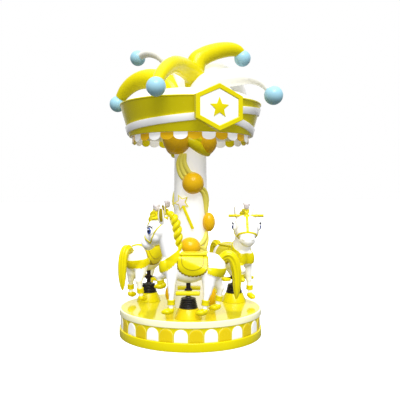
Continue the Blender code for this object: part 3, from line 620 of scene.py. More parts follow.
# Canopy

def canopy_radius(height, wall=0.0):
    share = (height - CEILING_BOTTOM) / (CANOPY_TOP - CEILING_BOTTOM)
    return CANOPY_FOOT + (CANOPY_RIM - CANOPY_FOOT) * share - wall


def make_canopy():
    lip = CANOPY_TOP - 0.014
    band = [
        (CANOPY_RIM, CANOPY_TOP), (CANOPY_RIM, lip), (canopy_radius(lip) - 0.003, lip - 0.003),
        (CANOPY_FOOT, CEILING_BOTTOM), (CANOPY_FOOT - 0.012, CEILING_BOTTOM), (CANOPY_RIM - 0.012, CANOPY_TOP),
    ]
    piece("canopy_band_shell", lathe(rounded(band, 0.004), 192), YELLOW, "turntable", ["canopy_band"])
    lining = [(canopy_radius(z, wall), z) for z, wall in
              ((CANOPY_TOP + 0.0005, 0.004), (CANOPY_TOP - 0.03, 0.0125), (CANOPY_TOP - 0.03, 0.016),
               (CANOPY_TOP + 0.0005, 0.016))]
    piece("canopy_lining", lathe(rounded(lining, 0.002), 192), CREAM, "turntable")
    top = CEILING_BOTTOM + 0.016
    ceiling = [(0, top), (canopy_radius(top, 0.0115), top), (canopy_radius(CEILING_BOTTOM, 0.0115), CEILING_BOTTOM),
               (0, CEILING_BOTTOM)]
    piece("canopy_ceiling_disc", lathe(ceiling, 128, False), WHITE, "turntable", ["canopy_ceiling"])
    edge = canopy_radius(CROWN_EDGE, 0.0115)
    knots = [(-r, z) for r, z in ((edge, CROWN_EDGE), *CROWN_PROFILE)]
    dome = [(r, smooth_between(knots, -r)) for r in arc(0, edge, 48)]
    dome += [(edge, CROWN_EDGE - 0.012), (0, CROWN_EDGE - 0.012)]
    piece("crown_dome", lathe(dome, 128, False), CREAM, "turntable", ["crown"])


def make_valance():
    """Half-round scallops in two colours. The orange ones are yellow inside."""
    colours = {0: [], 1: []}
    pitch = 2 * math.pi / SCALLOPS
    top = CEILING_BOTTOM - 0.0003
    columns = 18
    rows = 5
    for n in range(SCALLOPS):
        middle = FIRST_SCALLOP + n * pitch
        spots = []
        faces = []
        sheets = []
        for radius in (VALANCE_RADIUS, VALANCE_RADIUS - VALANCE_WALL):
            grid = []
            for i in range(columns + 1):
                across = -math.cos(math.pi * i / columns)
                low = VALANCE_NOTCH + (VALANCE_DROP - VALANCE_NOTCH) * math.sqrt(max(0, 1 - across**2))
                azimuth = middle + across * pitch * 0.497
                grid.append([])
                for j in range(rows + 1):
                    grid[-1].append(len(spots))
                    spots.append(on_azimuth(azimuth, radius, top - low * j / rows))
            sheets.append(grid)
        outer, inner = sheets
        for grid in sheets:
            for left, right in zip(grid, grid[1:]):
                for j in range(rows):
                    faces.append((left[j], right[j], right[j + 1], left[j + 1]))
        rim = [(i, rows) for i in range(columns + 1)]
        rim += [(columns, j) for j in range(rows - 1, -1, -1)]
        rim += [(i, 0) for i in range(columns - 1, -1, -1)]
        rim += [(0, j) for j in range(1, rows)]
        for (i, j), (k, m) in zip(rim, rim[1:] + rim[:1]):
            faces.append((outer[i][j], outer[k][m], inner[k][m], inner[i][j]))
        colours[n % 2].append(mesh_of(spots, faces))
    orange = merged(colours[0])
    made = piece("valance_orange", orange, [ORANGE, YELLOW], "turntable", ["valance"])
    for polygon in made.data.polygons:
        outward = Vector((polygon.center.x, polygon.center.y, 0)).normalized()
        polygon.material_index = 1 if polygon.normal.dot(outward) < -0.5 else 0
    piece("valance_white", merged(colours[1]), WHITE, "turntable")


RIBBON_PATH = [
    (18, 0.35), (54, 0.14), (75, 0.11), (159, 0.11), (225, 0.13), (249, 0.17), (343, 0.41),
    (372, 0.63), (385, 0.66), (429, 0.76), (519, 0.86),
]
RIBBON_WIDTH = 0.072
RIBBON_THICKNESS = 0.014


def make_ribbon():
    length = math.hypot(CANOPY_TOP - CEILING_BOTTOM, CANOPY_RIM - CANOPY_FOOT)
    half = RIBBON_WIDTH / 2 / length
    outline = []
    for side, out in ((-1, -0.004), (-1, 0.008), (-0.94, 0.013), (-0.86, RIBBON_THICKNESS),
                      (0.86, RIBBON_THICKNESS), (0.94, 0.013), (1, 0.008), (1, -0.004)):
        outline.append((side * half, out))
    spots = []
    rings = []
    for degrees in arc(RIBBON_PATH[0][0], RIBBON_PATH[-1][0], 260):
        share = smooth_between(RIBBON_PATH, degrees)
        ring = []
        for side, out in outline:
            height = CEILING_BOTTOM + (share + side) * (CANOPY_TOP - CEILING_BOTTOM)
            ring.append(len(spots))
            spots.append(on_azimuth(math.radians(degrees), canopy_radius(height) + out, height))
        rings.append(ring)
    faces = [tuple(rings[0]), tuple(rings[-1])]
    for first, second in zip(rings, rings[1:]):
        for i in range(len(outline)):
            j = (i + 1) % len(outline)
            faces.append((first[i], first[j], second[j], second[i]))
    piece("canopy_ribbon_band", mesh_of(spots, faces), WHITE, "turntable", ["canopy_ribbon"], 30)


SIGN_HALF_WIDTH = 0.242
SIGN_HALF_HEIGHT = 0.226
SIGN_SIDE = 0.113
SIGN_FRAME = 0.045
SIGN_HEIGHT = 2.30
SIGN_FRONT = -0.775


def hexagon(inset):
    slope = math.atan2(SIGN_HALF_HEIGHT - SIGN_SIDE, SIGN_HALF_WIDTH)
    half_width = SIGN_HALF_WIDTH - inset
    half_height = SIGN_HALF_HEIGHT - inset / math.cos(slope)
    side = half_height - half_width * math.tan(slope)
    return [(half_width, side), (0, half_height), (-half_width, side), (-half_width, -side),
            (0, -half_height), (half_width, -side)]


def make_sign():
    """A bevelled hexagonal frame round a recessed plate with a plain star on it."""
    stand = Matrix.Translation((0, SIGN_FRONT, SIGN_HEIGHT)) @ Matrix.Rotation(math.pi / 2, 4, "X")
    loops = []
    spots = []
    section = [(0, -0.045), (0, -0.006), (0.002, -0.002), (0.006, 0), (0.040, 0), (0.044, -0.002),
               (0.047, -0.010), (0.047, -0.045)]
    for inset, depth in section:
        loops.append(list(range(len(spots), len(spots) + 6)))
        spots += [Vector((x, y, depth)) for x, y in hexagon(inset)]
    faces = []
    for first, second in zip(loops, loops[1:] + loops[:1]):
        for i in range(6):
            j = (i + 1) % 6
            faces.append((first[i], first[j], second[j], second[i]))
    frame_mesh = mesh_of(spots, faces)
    frame_mesh.transform(stand)
    piece("sign_border", frame_mesh, YELLOW, "turntable", ["sign_frame"], 25)
    plate = prism(hexagon(SIGN_FRAME - 0.001), 0.020, 0.001)
    plate.transform(stand @ Matrix.Translation((0, 0, -0.022)))
    boss = block((0, SIGN_FRONT + 0.10, SIGN_HEIGHT - 0.02), (0.18, 0.15, 0.17), 0.004)
    piece("sign_face", merged([plate, boss]), WHITE, "turntable", ["sign_plate"])
    emblem = prism(star(0.105, 0.047), 0.012, 0.004)
    emblem.transform(stand @ Matrix.Translation((0, -0.006, -0.009)))
    piece("sign_star", emblem, YELLOW, "turntable")


# Horns: azimuth in degrees, then (distance, height, aside) of points along the middle and of the
# ball, then (share, radius) knots
HORNS = {
    "b": (-42, ((-0.10, 2.40, 0.08), (-0.07, 2.58, 0.08), (-0.02, 2.695, 0.06), (0.10, 2.765, 0.03),
                     (0.27, 2.785, 0), (0.45, 2.765, 0), (0.62, 2.70, 0), (0.766, 2.605, 0),
                     (0.860, 2.505, 0)), (0.883, 2.470, 0),
               ((0, 0.120), (0.35, 0.108), (0.6, 0.086), (0.85, 0.066), (1, 0.056)), YELLOW),
    "d": (96, ((0.12, 2.40, 0), (0.05, 2.66, 0), (0.07, 2.88, 0), (0.165, 2.968, 0),
                    (0.301, 3.030, 0), (0.428, 3.066, 0), (0.530, 3.078, 0), (0.602, 3.064, 0),
                    (0.648, 3.020, 0)), (0.655, 2.995, 0),
               ((0, 0.115), (0.4, 0.096), (0.65, 0.082), (0.88, 0.064), (1, 0.050)), YELLOW),
    "e": (34, ((0.09, 2.40, 0), (0.11, 2.54, 0), (0.19, 2.625, 0), (0.30, 2.660, 0),
                    (0.515, 2.660, 0), (0.722, 2.637, 0), (0.867, 2.571, 0), (0.955, 2.475, 0)),
               (0.981, 2.434, 0),
               ((0, 0.115), (0.35, 0.105), (0.57, 0.090), (0.72, 0.064), (0.86, 0.050), (1, 0.038)), CREAM),
    "a": (-142, ((0.16, 2.40, 0), (0.20, 2.56, 0), (0.34, 2.70, 0), (0.50, 2.755, 0),
                      (0.64, 2.760, 0), (0.76, 2.728, 0), (0.862, 2.665, 0), (0.94, 2.583, 0)),
               (0.985, 2.515, 0),
               ((0, 0.125), (0.4, 0.112), (0.7, 0.094), (0.88, 0.078), (1, 0.062)), YELLOW),
    "c": (-161, ((0.10, 2.40, 0), (0.12, 2.66, 0), (0.22, 2.84, 0), (0.437, 2.995, 0),
                      (0.568, 3.070, 0), (0.724, 3.120, 0), (0.850, 3.128, 0), (0.935, 3.112, 0)),
               (0.985, 3.105, 0), ((0, 0.105), (0.4, 0.072), (0.7, 0.054), (1, 0.042)), CREAM),
    "f": (118, ((0.14, 2.40, 0), (0.16, 2.58, 0), (0.25, 2.76, 0), (0.42, 2.84, 0),
                     (0.60, 2.850, 0), (0.77, 2.80, 0), (0.90, 2.69, 0), (0.96, 2.57, 0)),
               (0.975, 2.50, 0),
               ((0, 0.125), (0.35, 0.112), (0.6, 0.092), (0.85, 0.068), (1, 0.050)), CREAM),
}


def horn_point(azimuth, spot):
    """A point at a distance and height on this azimuth, and aside from its plane."""
    distance, height, aside = spot
    way = math.radians(azimuth)
    return on_azimuth(way, distance, height) + Vector((math.cos(way), math.sin(way), 0)) * aside


def make_horns():
    """Tapered horns that spring from the crown, each with a ball on its tip."""
    for key, (azimuth, spots, ball, knots, colour) in HORNS.items():
        path = through([horn_point(azimuth, spot) for spot in spots], 72)
        radii = [smooth_between(knots, t) for t in arc(0, 1, 72)]
        piece(f"horn_{key}_body", sweep(path, radii, 48), colour, "turntable", [f"horn_{key}"])
        knob = ellipsoid(horn_point(azimuth, ball), (BALL_RADIUS,) * 3, 56, 32)
        piece(f"ball_{key}_knob", knob, BLUE, "turntable", [f"ball_{key}"])


# Horse

HORSE_MASSES = [
    ((0.135, 0, 0.510), (0.125, 0.115, 0.140)),
    ((0.000, 0, 0.485), (0.190, 0.118, 0.148)),
    ((-0.205, 0, 0.490), (0.158, 0.125, 0.142)),
]
HORSE_LIMBS = [
    [((0.13, 0, 0.56), 0.110), ((0.185, 0, 0.70), 0.092), ((0.225, 0, 0.85), 0.090)],
    [((0.155, 0.060, 0.45), 0.064), ((0.160, 0.080, 0.33), 0.042), ((0.157, 0.092, 0.24), 0.028),
     ((0.160, 0.100, 0.155), 0.022), ((0.164, 0.100, 0.105), 0.024)],
    [((0.17, -0.060, 0.45), 0.066), ((0.245, -0.080, 0.405), 0.045), ((0.300, -0.090, 0.390), 0.034),
     ((0.285, -0.092, 0.345), 0.028), ((0.272, -0.092, 0.320), 0.026)],
    [((-0.20, 0.065, 0.45), 0.088), ((-0.195, 0.085, 0.34), 0.060), ((-0.185, 0.108, 0.26), 0.038),
     ((-0.168, 0.123, 0.19), 0.023), ((-0.160, 0.130, 0.11), 0.024)],
    [((-0.22, -0.065, 0.45), 0.088), ((-0.27, -0.085, 0.34), 0.058), ((-0.31, -0.098, 0.27), 0.038),
     ((-0.300, -0.105, 0.19), 0.024), ((-0.285, -0.108, 0.11), 0.024)],
]
# Small forms on the skin: chest muscles and knees
HORSE_FORMS = [
    ((0.225, 0.045, 0.500), (0.050, 0.055, 0.085)),
    ((0.225, -0.045, 0.500), (0.050, 0.055, 0.085)),
    ((0.160, 0.090, 0.262), (0.032, 0.033, 0.038)),
    ((0.302, -0.090, 0.392), (0.040, 0.037, 0.038)),
    ((-0.186, 0.106, 0.268), (0.042, 0.040, 0.044)),
    ((-0.311, -0.098, 0.276), (0.042, 0.040, 0.042)),
]
# The head, as it would be if it weren't turned inward about the top of the neck
HEAD_MASSES = [
    ((0.285, 0, 0.852), (0.118, 0.138, 0.120)),
    ((0.345, 0, 0.785), (0.095, 0.112, 0.092)),
    ((0.415, 0, 0.712), (0.064, 0.083, 0.064)),
]
HEAD_FORMS = [
    ((0.290, 0.085, 0.800), (0.060, 0.046, 0.070)),
    ((0.290, -0.085, 0.800), (0.060, 0.046, 0.070)),
    ((0.458, 0.040, 0.728), (0.022, 0.024, 0.020)),
    ((0.458, -0.040, 0.728), (0.022, 0.024, 0.020)),
    ((0.420, 0, 0.672), (0.042, 0.056, 0.030)),
]
HEAD_PIVOT = Vector((0.235, 0, 0))
HEAD_TURN = (Matrix.Translation(HEAD_PIVOT) @ Matrix.Rotation(math.radians(-28), 4, "Z")
             @ Matrix.Translation(-HEAD_PIVOT))
HOOVES = [(0.164, 0.100, 0.072), (0.252, -0.092, 0.282), (-0.160, 0.132, 0.072), (-0.285, -0.108, 0.072)]
# Cuffs: where they sit on their leg, the leg's direction there, and their height
CUFFS = [
    ((0.160, 0.100, 0.170), (0, 0, 1), 0.048),
    ((0.278, -0.092, 0.333), (0.2, 0, 1), 0.036),
    ((-0.166, 0.124, 0.170), (-0.10, -0.08, 1), 0.052),
    ((-0.296, -0.106, 0.170), (-0.2, 0, 1), 0.052),
]
HANDLEBAR_PLACE = (0.262, 0.962)
HANDLEBAR_SPAN = 0.38
HANDLEBAR_RADIUS = 0.016
SKIN_VOXEL = 0.007


def chain(beads):
    """Balls joined by cones."""
    meshes = [ellipsoid(c, (r,) * 3, 32, 20) for c, r in beads]
    for (a, ra), (b, rb) in zip(beads, beads[1:]):
        meshes.append(sweep([Vector(a), Vector(b)], [ra, rb], 32))
    return meshes


def make_skin(turn):
    """The horse's bare body, with its legs and head but no ears. The head is turned by a matrix."""
    meshes = [ellipsoid(c, r) for c, r in HORSE_MASSES + HORSE_FORMS]
    for beads in HORSE_LIMBS:
        meshes += chain(beads)
    meshes += [moved(ellipsoid(c, r), turn) for c, r in HEAD_MASSES + HEAD_FORMS]
    return fused(meshes, SKIN_VOXEL, 9)


class Hugger:
    """Finds places on the skin for what is strapped or let into it."""

    def __init__(self, mesh):
        work = bmesh.new()
        work.from_mesh(mesh)
        self.tree = BVHTree.FromBMesh(work)
        work.free()

    def place(self, spot, offset=0.0):
        location, normal, _, _ = self.tree.find_nearest(Vector(spot))
        return location + normal * offset, normal

    def strap(self, spots, width, thickness, count=40, closed=False):
        """A flat strap over the skin, through the spots, with rounded edges."""
        path = through(spots, count)
        section = [(-1, -0.3), (-1, 0.4), (-0.8, 0.85), (-0.45, 1), (0.45, 1), (0.8, 0.85), (1, 0.4), (1, -0.3)]
        points = []
        rings = []
        for k, spot in enumerate(path):
            way = (path[min(k + 1, count - 1)] - path[max(k - 1, 0)]).normalized()
            middle, normal = self.place(spot)
            side = way.cross(normal).normalized()
            ring = []
            for across, out in section:
                on_skin, _ = self.place(middle + side * across * width / 2)
                ring.append(len(points))
                points.append(on_skin + normal * out * thickness)
            rings.append(ring)
        faces = [] if closed else [tuple(rings[0]), tuple(rings[-1])]
        for first, second in zip(rings, rings[1:]):
            for i in range(len(section)):
                j = (i + 1) % len(section)
                faces.append((first[i], first[j], second[j], second[i]))
        return mesh_of(points, faces)


def outline_cut(skin, outline, thickness, span=0.6):
    """The part of a thickened skin inside an outline drawn in X and Z."""
    side = prism([(x, z) for x, z in outline], span)
    side.transform(Matrix.Rotation(math.pi / 2, 4, "X"))
    return combined(swollen(skin, thickness), side, "INTERSECT")


def taut(mesh):
    """The mesh's convex hull, because cloth bridges a hollow."""
    work = bmesh.new()
    work.from_mesh(mesh)
    made = bmesh.ops.convex_hull(work, input=work.verts)
    spare = {v for v in made["geom_interior"] + made["geom_unused"] if isinstance(v, bmesh.types.BMVert)}
    bmesh.ops.delete(work, geom=list(spare), context="VERTS")
    work.to_mesh(mesh)
    work.free()
    return fused([mesh], 0.006, 16)


def scalloped(points, count, drop):
    """The line through points, with small half-round scallops under it."""
    path = through([(x, z, 0) for x, z in points], count * 8 + 1)
    result = []
    for k, spot in enumerate(path):
        way = path[min(k + 1, len(path) - 1)] - path[max(k - 1, 0)]
        out = Vector((way.y, -way.x, 0)).normalized()
        bulge = math.sqrt(max(0.0, 1 - (2 * (k % 8) / 8 - 1) ** 2)) if k % 8 else 0.0
        result.append(((spot + out * drop * bulge).x, (spot + out * drop * bulge).y))
    return result


FLAP_FRONT = 0.100
FLAP_BACK = -0.190
FLAP_MIDDLE = (FLAP_FRONT + FLAP_BACK) / 2


def flap_outline(inset, bottom, top, scallops=0, drop=0.0):
    """The blanket's side: straight down, then round below."""
    half = (FLAP_FRONT - FLAP_BACK) / 2 - inset
    low = bottom + half * 0.72
    curve = []
    for a in arc(math.pi, 2 * math.pi, 13):
        curve.append((FLAP_MIDDLE + half * math.cos(a), low + half * 0.72 * math.sin(a)))
    curve = [(FLAP_MIDDLE - half, top)] + [(FLAP_MIDDLE - half, low + (top - low) * 0.5)] + curve
    curve += [(FLAP_MIDDLE + half, low + (top - low) * 0.5), (FLAP_MIDDLE + half, top)]
    if scallops:
        curve = scalloped(curve, scallops, drop)
    return curve


def make_tack(skin):
    """Blanket, breast collar and breeching, each hugging the skin."""
    tack = {}
    wide = flap_outline(-0.006, FLAP_BOTTOM_EDGE - 0.010, 0.600)
    form = taut(outline_cut(skin, wide, 0.001))
    # The scalloped layer under the blanket; its darker gold is painted shade along the scallop edges.
    under = flap_outline(0.000, FLAP_BOTTOM_EDGE + 0.008, 0.640, 17, 0.011)
    tack["blanket_fringe"] = (outline_cut(form, under, 0.0045), SHADE_GOLD)
    tack["blanket"] = (outline_cut(form, flap_outline(0.005, FLAP_BOTTOM_EDGE + 0.014, 0.645), 0.0085), YELLOW)
    panel = outline_cut(form, flap_outline(0.045, FLAP_BOTTOM_EDGE + 0.070, 0.630), 0.0125)
    # A thin band round the panel in darker gold: painted shade along the panel's raised edge.
    rim = outline_cut(form, flap_outline(0.038, FLAP_BOTTOM_EDGE + 0.063, 0.632), 0.0095)
    tack["blanket_line"] = (rim, SHADE_GOLD)
    tack["blanket_panel"] = (panel, YELLOW)
    chest = [(0.080, 0.680), (0.12, 0.645), (0.18, 0.60), (0.235, 0.565), (0.30, 0.545)]
    breast_low = scalloped([(0.30, 0.445), (0.235, 0.462), (0.17, 0.50), (0.080, 0.590)][::-1], 12, 0.010)
    tack["breast_collar"] = (outline_cut(skin, chest + breast_low[::-1], 0.0095), YELLOW)
    breech_top = [(-0.185, 0.510), (-0.25, 0.500), (-0.31, 0.490), (-0.39, 0.484)]
    breech_low = scalloped([(-0.185, 0.445), (-0.25, 0.418), (-0.31, 0.398), (-0.39, 0.385)], 8, 0.009)
    tack["breeching"] = (outline_cut(skin, breech_top + breech_low[::-1], 0.0095), YELLOW)
    return tack


FLAP_BOTTOM_EDGE = 0.412


def make_seat():
    """A flat seat with a thin raised rim, a low pommel and a cantle."""
    meshes = [
        ellipsoid((-0.048, 0, 0.588), (0.132, 0.104, 0.038)),
        block((-0.048, 0, 0.622), (0.272, 0.206, 0.026), 0.012),
        ellipsoid((-0.158, 0, 0.630), (0.030, 0.090, 0.018)),
        ellipsoid((0.064, 0, 0.630), (0.026, 0.076, 0.018)),
    ]
    return fused(meshes, 0.005, 4)


MANE_TURNS = 3.2


def make_mane():
    """A thick braid down the crest of the neck: two strands twisted round each other."""
    spots = [Vector(p) for p in ((0.20, 0.01, 1.02), (0.10, 0.03, 0.99), (0.105, 0.05, 0.82), (0.085, 0.04, 0.645))]
    path = bezier(*spots, 90)
    frames = frames_along(path)
    strands = []
    for first in (0, math.pi):
        spots = []
        radii = []
        for k, (spot, (u, v)) in enumerate(zip(path, frames)):
            t = k / (len(path) - 1)
            size = between([(0, 0.026), (0.3, 0.046), (0.7, 0.048), (1, 0.030)], t)
            angle = first + t * MANE_TURNS * 2 * math.pi
            spots.append(spot + (u * math.cos(angle) + v * math.sin(angle)) * size * 0.44)
            radii.append(size * 0.56)
        strands.append(sweep(spots, radii, 40, 5, 0.05, 1.5))
    return fused(strands, 0.004, 1)


def make_tail():
    """A grooved tail that arches up and falls to a point."""
    spots = [Vector(p) for p in ((-0.30, 0, 0.555), (-0.38, 0, 0.66), (-0.50, 0, 0.65), (-0.462, 0, 0.185))]
    path = bezier(*spots, 70)
    knots = [(0, 0.030), (0.3, 0.046), (0.65, 0.047), (0.88, 0.039), (0.97, 0.022), (1, 0.006)]
    radii = [smooth_between(knots, t) for t in arc(0, 1, 70)]
    return sweep(path, radii, 72, 7, 0.08, 0.5)


def make_hoof(x, y, z):
    """A hoof like a low boot: flat sole, high heel, a toe that points forward."""
    upper = [
        ellipsoid((x + 0.004, y, z + 0.018), (0.036, 0.036, 0.033), 28, 18),
        ellipsoid((x + 0.034, y, z + 0.006), (0.052, 0.038, 0.030), 28, 18),
        ellipsoid((x + 0.066, y, z + 0.001), (0.027, 0.024, 0.019), 28, 18),
    ]
    hoof = fused(upper, 0.005, 4)
    sole = prism([(x - 0.1, y - 0.1), (x + 0.15, y - 0.1), (x + 0.15, y + 0.1), (x - 0.1, y + 0.1)], 0.1)
    sole.transform(Matrix.Translation((0, 0, z - 0.024 - 0.05)))
    return combined(hoof, sole, "DIFFERENCE")


def make_cuff(centre, way, height):
    turn = Vector(way).normalized().to_track_quat("Z", "X").to_matrix().to_4x4()
    half = height / 2
    profile = [(0.020, -half), (0.039, -half), (0.036, 0), (0.039, half), (0.020, half)]
    cuff = lathe(rounded(profile, 0.006), 40)
    cuff.transform(Matrix.Translation(centre) @ turn)
    return cuff


def make_ear(side):
    """A leaf-shaped ear with a gold hollow that looks outward, the gold darkened as painted shade."""
    root = Vector((0.214, side * 0.076, 0.918))
    tip = Vector((0.206, side * 0.112, 1.088))
    path = through([root, root.lerp(tip, 0.45) + Vector((0, side * 0.014, 0)), tip], 30)
    radii = [0.034 * (math.sin(math.pi * (0.22 + 0.76 * t)) ** 0.8) + 0.002 for t in arc(0, 1, 30)]
    outer = sweep(path, radii, 32)
    inner = sweep([p + Vector((-0.006, side * 0.012, 0)) for p in path[5:-4]], [r * 0.72 for r in radii[5:-4]], 32)
    squash = Matrix.Translation(root) @ Matrix.Diagonal((0.9, 0.72, 1, 1)) @ Matrix.Translation(-root)
    outer.transform(squash)
    inner.transform(squash)
    return outer, inner


def make_eye(hugger, side):
    """A white, with iris, pupil, a glint and black lashes over it."""
    spot, normal = hugger.place((0.322, side * 0.16, 0.842))
    facing = Vector((-0.12, side, 0.06)).normalized()
    turn = facing.to_track_quat("Z", "Y").to_matrix().to_4x4()
    centre = spot - normal * 0.006
    white = ellipsoid(centre, (0.032, 0.042, 0.024), 40, 24, turn)
    gaze = facing
    ahead = Vector((1, 0, 0))
    iris = ellipsoid(centre + gaze * 0.0090 + ahead * 0.003, (0.0255, 0.0335, 0.0200), 40, 24, turn)
    pupil = ellipsoid(centre + gaze * 0.0165 + ahead * 0.003, (0.0160, 0.0210, 0.0150), 32, 20, turn)
    up = Vector((0, 0, 1))
    across = up.cross(facing).normalized()
    glint = ellipsoid(centre + gaze * 0.0270 + up * 0.012 + ahead * 0.010, (0.0055, 0.0065, 0.0055), 20, 12, turn)
    lashes = []
    for i, lean in enumerate((-0.9, -0.45, 0.0, 0.45, 0.9)):
        start = centre + gaze * 0.016 + up * (0.039 - abs(lean) * 0.011) + across * lean * 0.028
        tip = start + up * 0.020 + across * lean * 0.016 + gaze * 0.010
        lashes.append(sweep(through([start, start.lerp(tip, 0.5) + gaze * 0.004, tip], 8),
                            [0.0034, 0.0034, 0.0032, 0.0028, 0.0024, 0.0018, 0.0012, 0.0006], 8))
    lid_path = []
    for a in arc(0.12 * math.pi, 0.88 * math.pi, 20):
        lid_path.append(centre + gaze * 0.014 + across * math.cos(a) * 0.032 + up * math.sin(a) * 0.042)
    lid = sweep(lid_path, [0.0014 + 0.0042 * math.sin(math.pi * t) for t in arc(0, 1, 20)], 10)
    return {"white": white, "iris": iris, "ink": merged([pupil, lid, *lashes]), "glint": glint}


def make_bridle(hugger):
    """Noseband, cheek straps and face strip."""
    straps = [hugger.strap([(0.334, -0.10, 0.700), (0.365, -0.10, 0.745), (0.405, -0.08, 0.778), (0.430, 0, 0.795),
                            (0.405, 0.08, 0.778), (0.365, 0.10, 0.745), (0.334, 0.10, 0.700)], 0.020, 0.0055, 48),
              hugger.strap([(0.430, 0, 0.795), (0.425, 0, 0.845), (0.395, 0, 0.90), (0.345, 0, 0.955),
                            (0.28, 0, 0.985)], 0.028, 0.0055, 32)]
    for side in (-1, 1):
        straps.append(hugger.strap([(0.175, side * 0.08, 0.945), (0.215, side * 0.15, 0.880),
                                    (0.275, side * 0.15, 0.800), (0.334, side * 0.11, 0.712)], 0.013, 0.005, 32))
    return merged(straps)


def make_head_dress():
    """Forehead ornament of small lobes, a ball on the poll, and a pale plume."""
    lobes = [
        ellipsoid((0.318, 0, 0.956), (0.026, 0.034, 0.024)),
        ellipsoid((0.332, 0.022, 0.942), (0.018, 0.020, 0.016)),
        ellipsoid((0.332, -0.022, 0.942), (0.018, 0.020, 0.016)),
        ellipsoid((0.318, 0, 0.988), (0.020, 0.022, 0.024)),
        ellipsoid((0.318, 0.015, 1.008), (0.012, 0.013, 0.014)),
        ellipsoid((0.318, -0.015, 1.008), (0.012, 0.013, 0.014)),
    ]
    ball = ellipsoid((0.272, 0, 1.012), (0.035, 0.036, 0.038))
    feathers = [ellipsoid((0.322, 0, 1.068), (0.034, 0.032, 0.040))]
    for i in range(7):
        a = 2 * math.pi * i / 7
        feathers.append(ellipsoid((0.322 + 0.022 * math.cos(a), 0.022 * math.sin(a), 1.080 + 0.012 * (i % 2)),
                                  (0.017, 0.017, 0.022)))
    return fused(lobes, 0.005, 3), ball, fused(feathers, 0.005, 3)


FOOTREST_HEIGHT = 0.264
FOOTREST_OFFSET = 0.15


def make_footrest():
    """Two ribbed foot plates on an axle that is clamped round the post."""
    plates = []
    for side in (-1, 1):
        y = side * FOOTREST_OFFSET
        plates.append(block((0, y, FOOTREST_HEIGHT), (0.230, 0.085, 0.034), 0.010))
        for x in arc(-0.085, 0.085, 8):
            plates.append(block((x, y, FOOTREST_HEIGHT + 0.0165), (0.008, 0.066, 0.003), 0.001, 2))
    axle = bar((0, -FOOTREST_OFFSET, FOOTREST_HEIGHT), (0, FOOTREST_OFFSET, FOOTREST_HEIGHT), 0.013)
    hub = [(POST_RADIUS + 0.0005, -0.02), (0.036, -0.02), (0.036, 0.02), (POST_RADIUS + 0.0005, 0.02)]
    clamp = lathe(rounded(hub, 0.005), 40)
    clamp.transform(Matrix.Translation((0, 0, FOOTREST_HEIGHT)))
    return merged(plates), merged([axle, clamp])


def make_post():
    return lathe(rounded([(0, POST_BOTTOM), (POST_RADIUS, POST_BOTTOM), (POST_RADIUS, POST_TOP), (0, POST_TOP)],
                         0.002), 40, False)


def make_handlebar():
    """A bar through the head, with a grip at each end."""
    x, z = HANDLEBAR_PLACE
    half = HANDLEBAR_SPAN / 2
    core = bar((x, -half + 0.004, z), (x, half - 0.004, z), 0.0125)
    grips = []
    for side in (-1, 1):
        profile = []
        for t in arc(0, 1, 34):
            groove = 0.0012 if int(t * 33) % 3 == 0 and 0.1 < t < 0.9 else 0.0
            profile.append((0.0158 - groove, t * 0.085))
        profile = [(0, 0), *profile, (0, 0.085)]
        grip = lathe(profile, 36, False)
        start = side * (half - 0.086)
        grip.transform(Matrix.Translation((x, start, z)) @ Matrix.Rotation(-side * math.pi / 2, 4, "X"))
        grips.append(grip)
    return merged([core, *grips])


def make_pedestal():
    foot = 0.0003
    profile = [(0.0232, PEDESTAL_HEIGHT), (0.097, PEDESTAL_HEIGHT), (0.135, foot), (0.0232, foot)]
    return lathe(rounded(profile, 0.007), 96)


def make_bellows():
    """Thin folds of rubber from the pedestal to a neck on the post."""
    rings = 6
    pitch = (BELLOWS_TOP - 0.010 - BELLOWS_BOTTOM) / rings
    profile = [(POST_RADIUS + 0.0006, BELLOWS_TOP), (0.030, BELLOWS_TOP), (0.034, BELLOWS_TOP - 0.008)]
    for i in range(rings):
        share = i / (rings - 1)
        radius = 0.073 + (0.092 - 0.073) * share
        top = BELLOWS_TOP - 0.010 - i * pitch
        for t in arc(0, 0.9, 10):
            profile.append((radius - 0.020 + 0.020 * math.sin(math.pi * t) ** 0.6, top - pitch * t))
    profile += [(0.080, BELLOWS_BOTTOM), (0.030, BELLOWS_BOTTOM), (0.030, BELLOWS_TOP - 0.012),
                (POST_RADIUS + 0.0006, BELLOWS_TOP - 0.010)]
    return lathe(profile, 72)


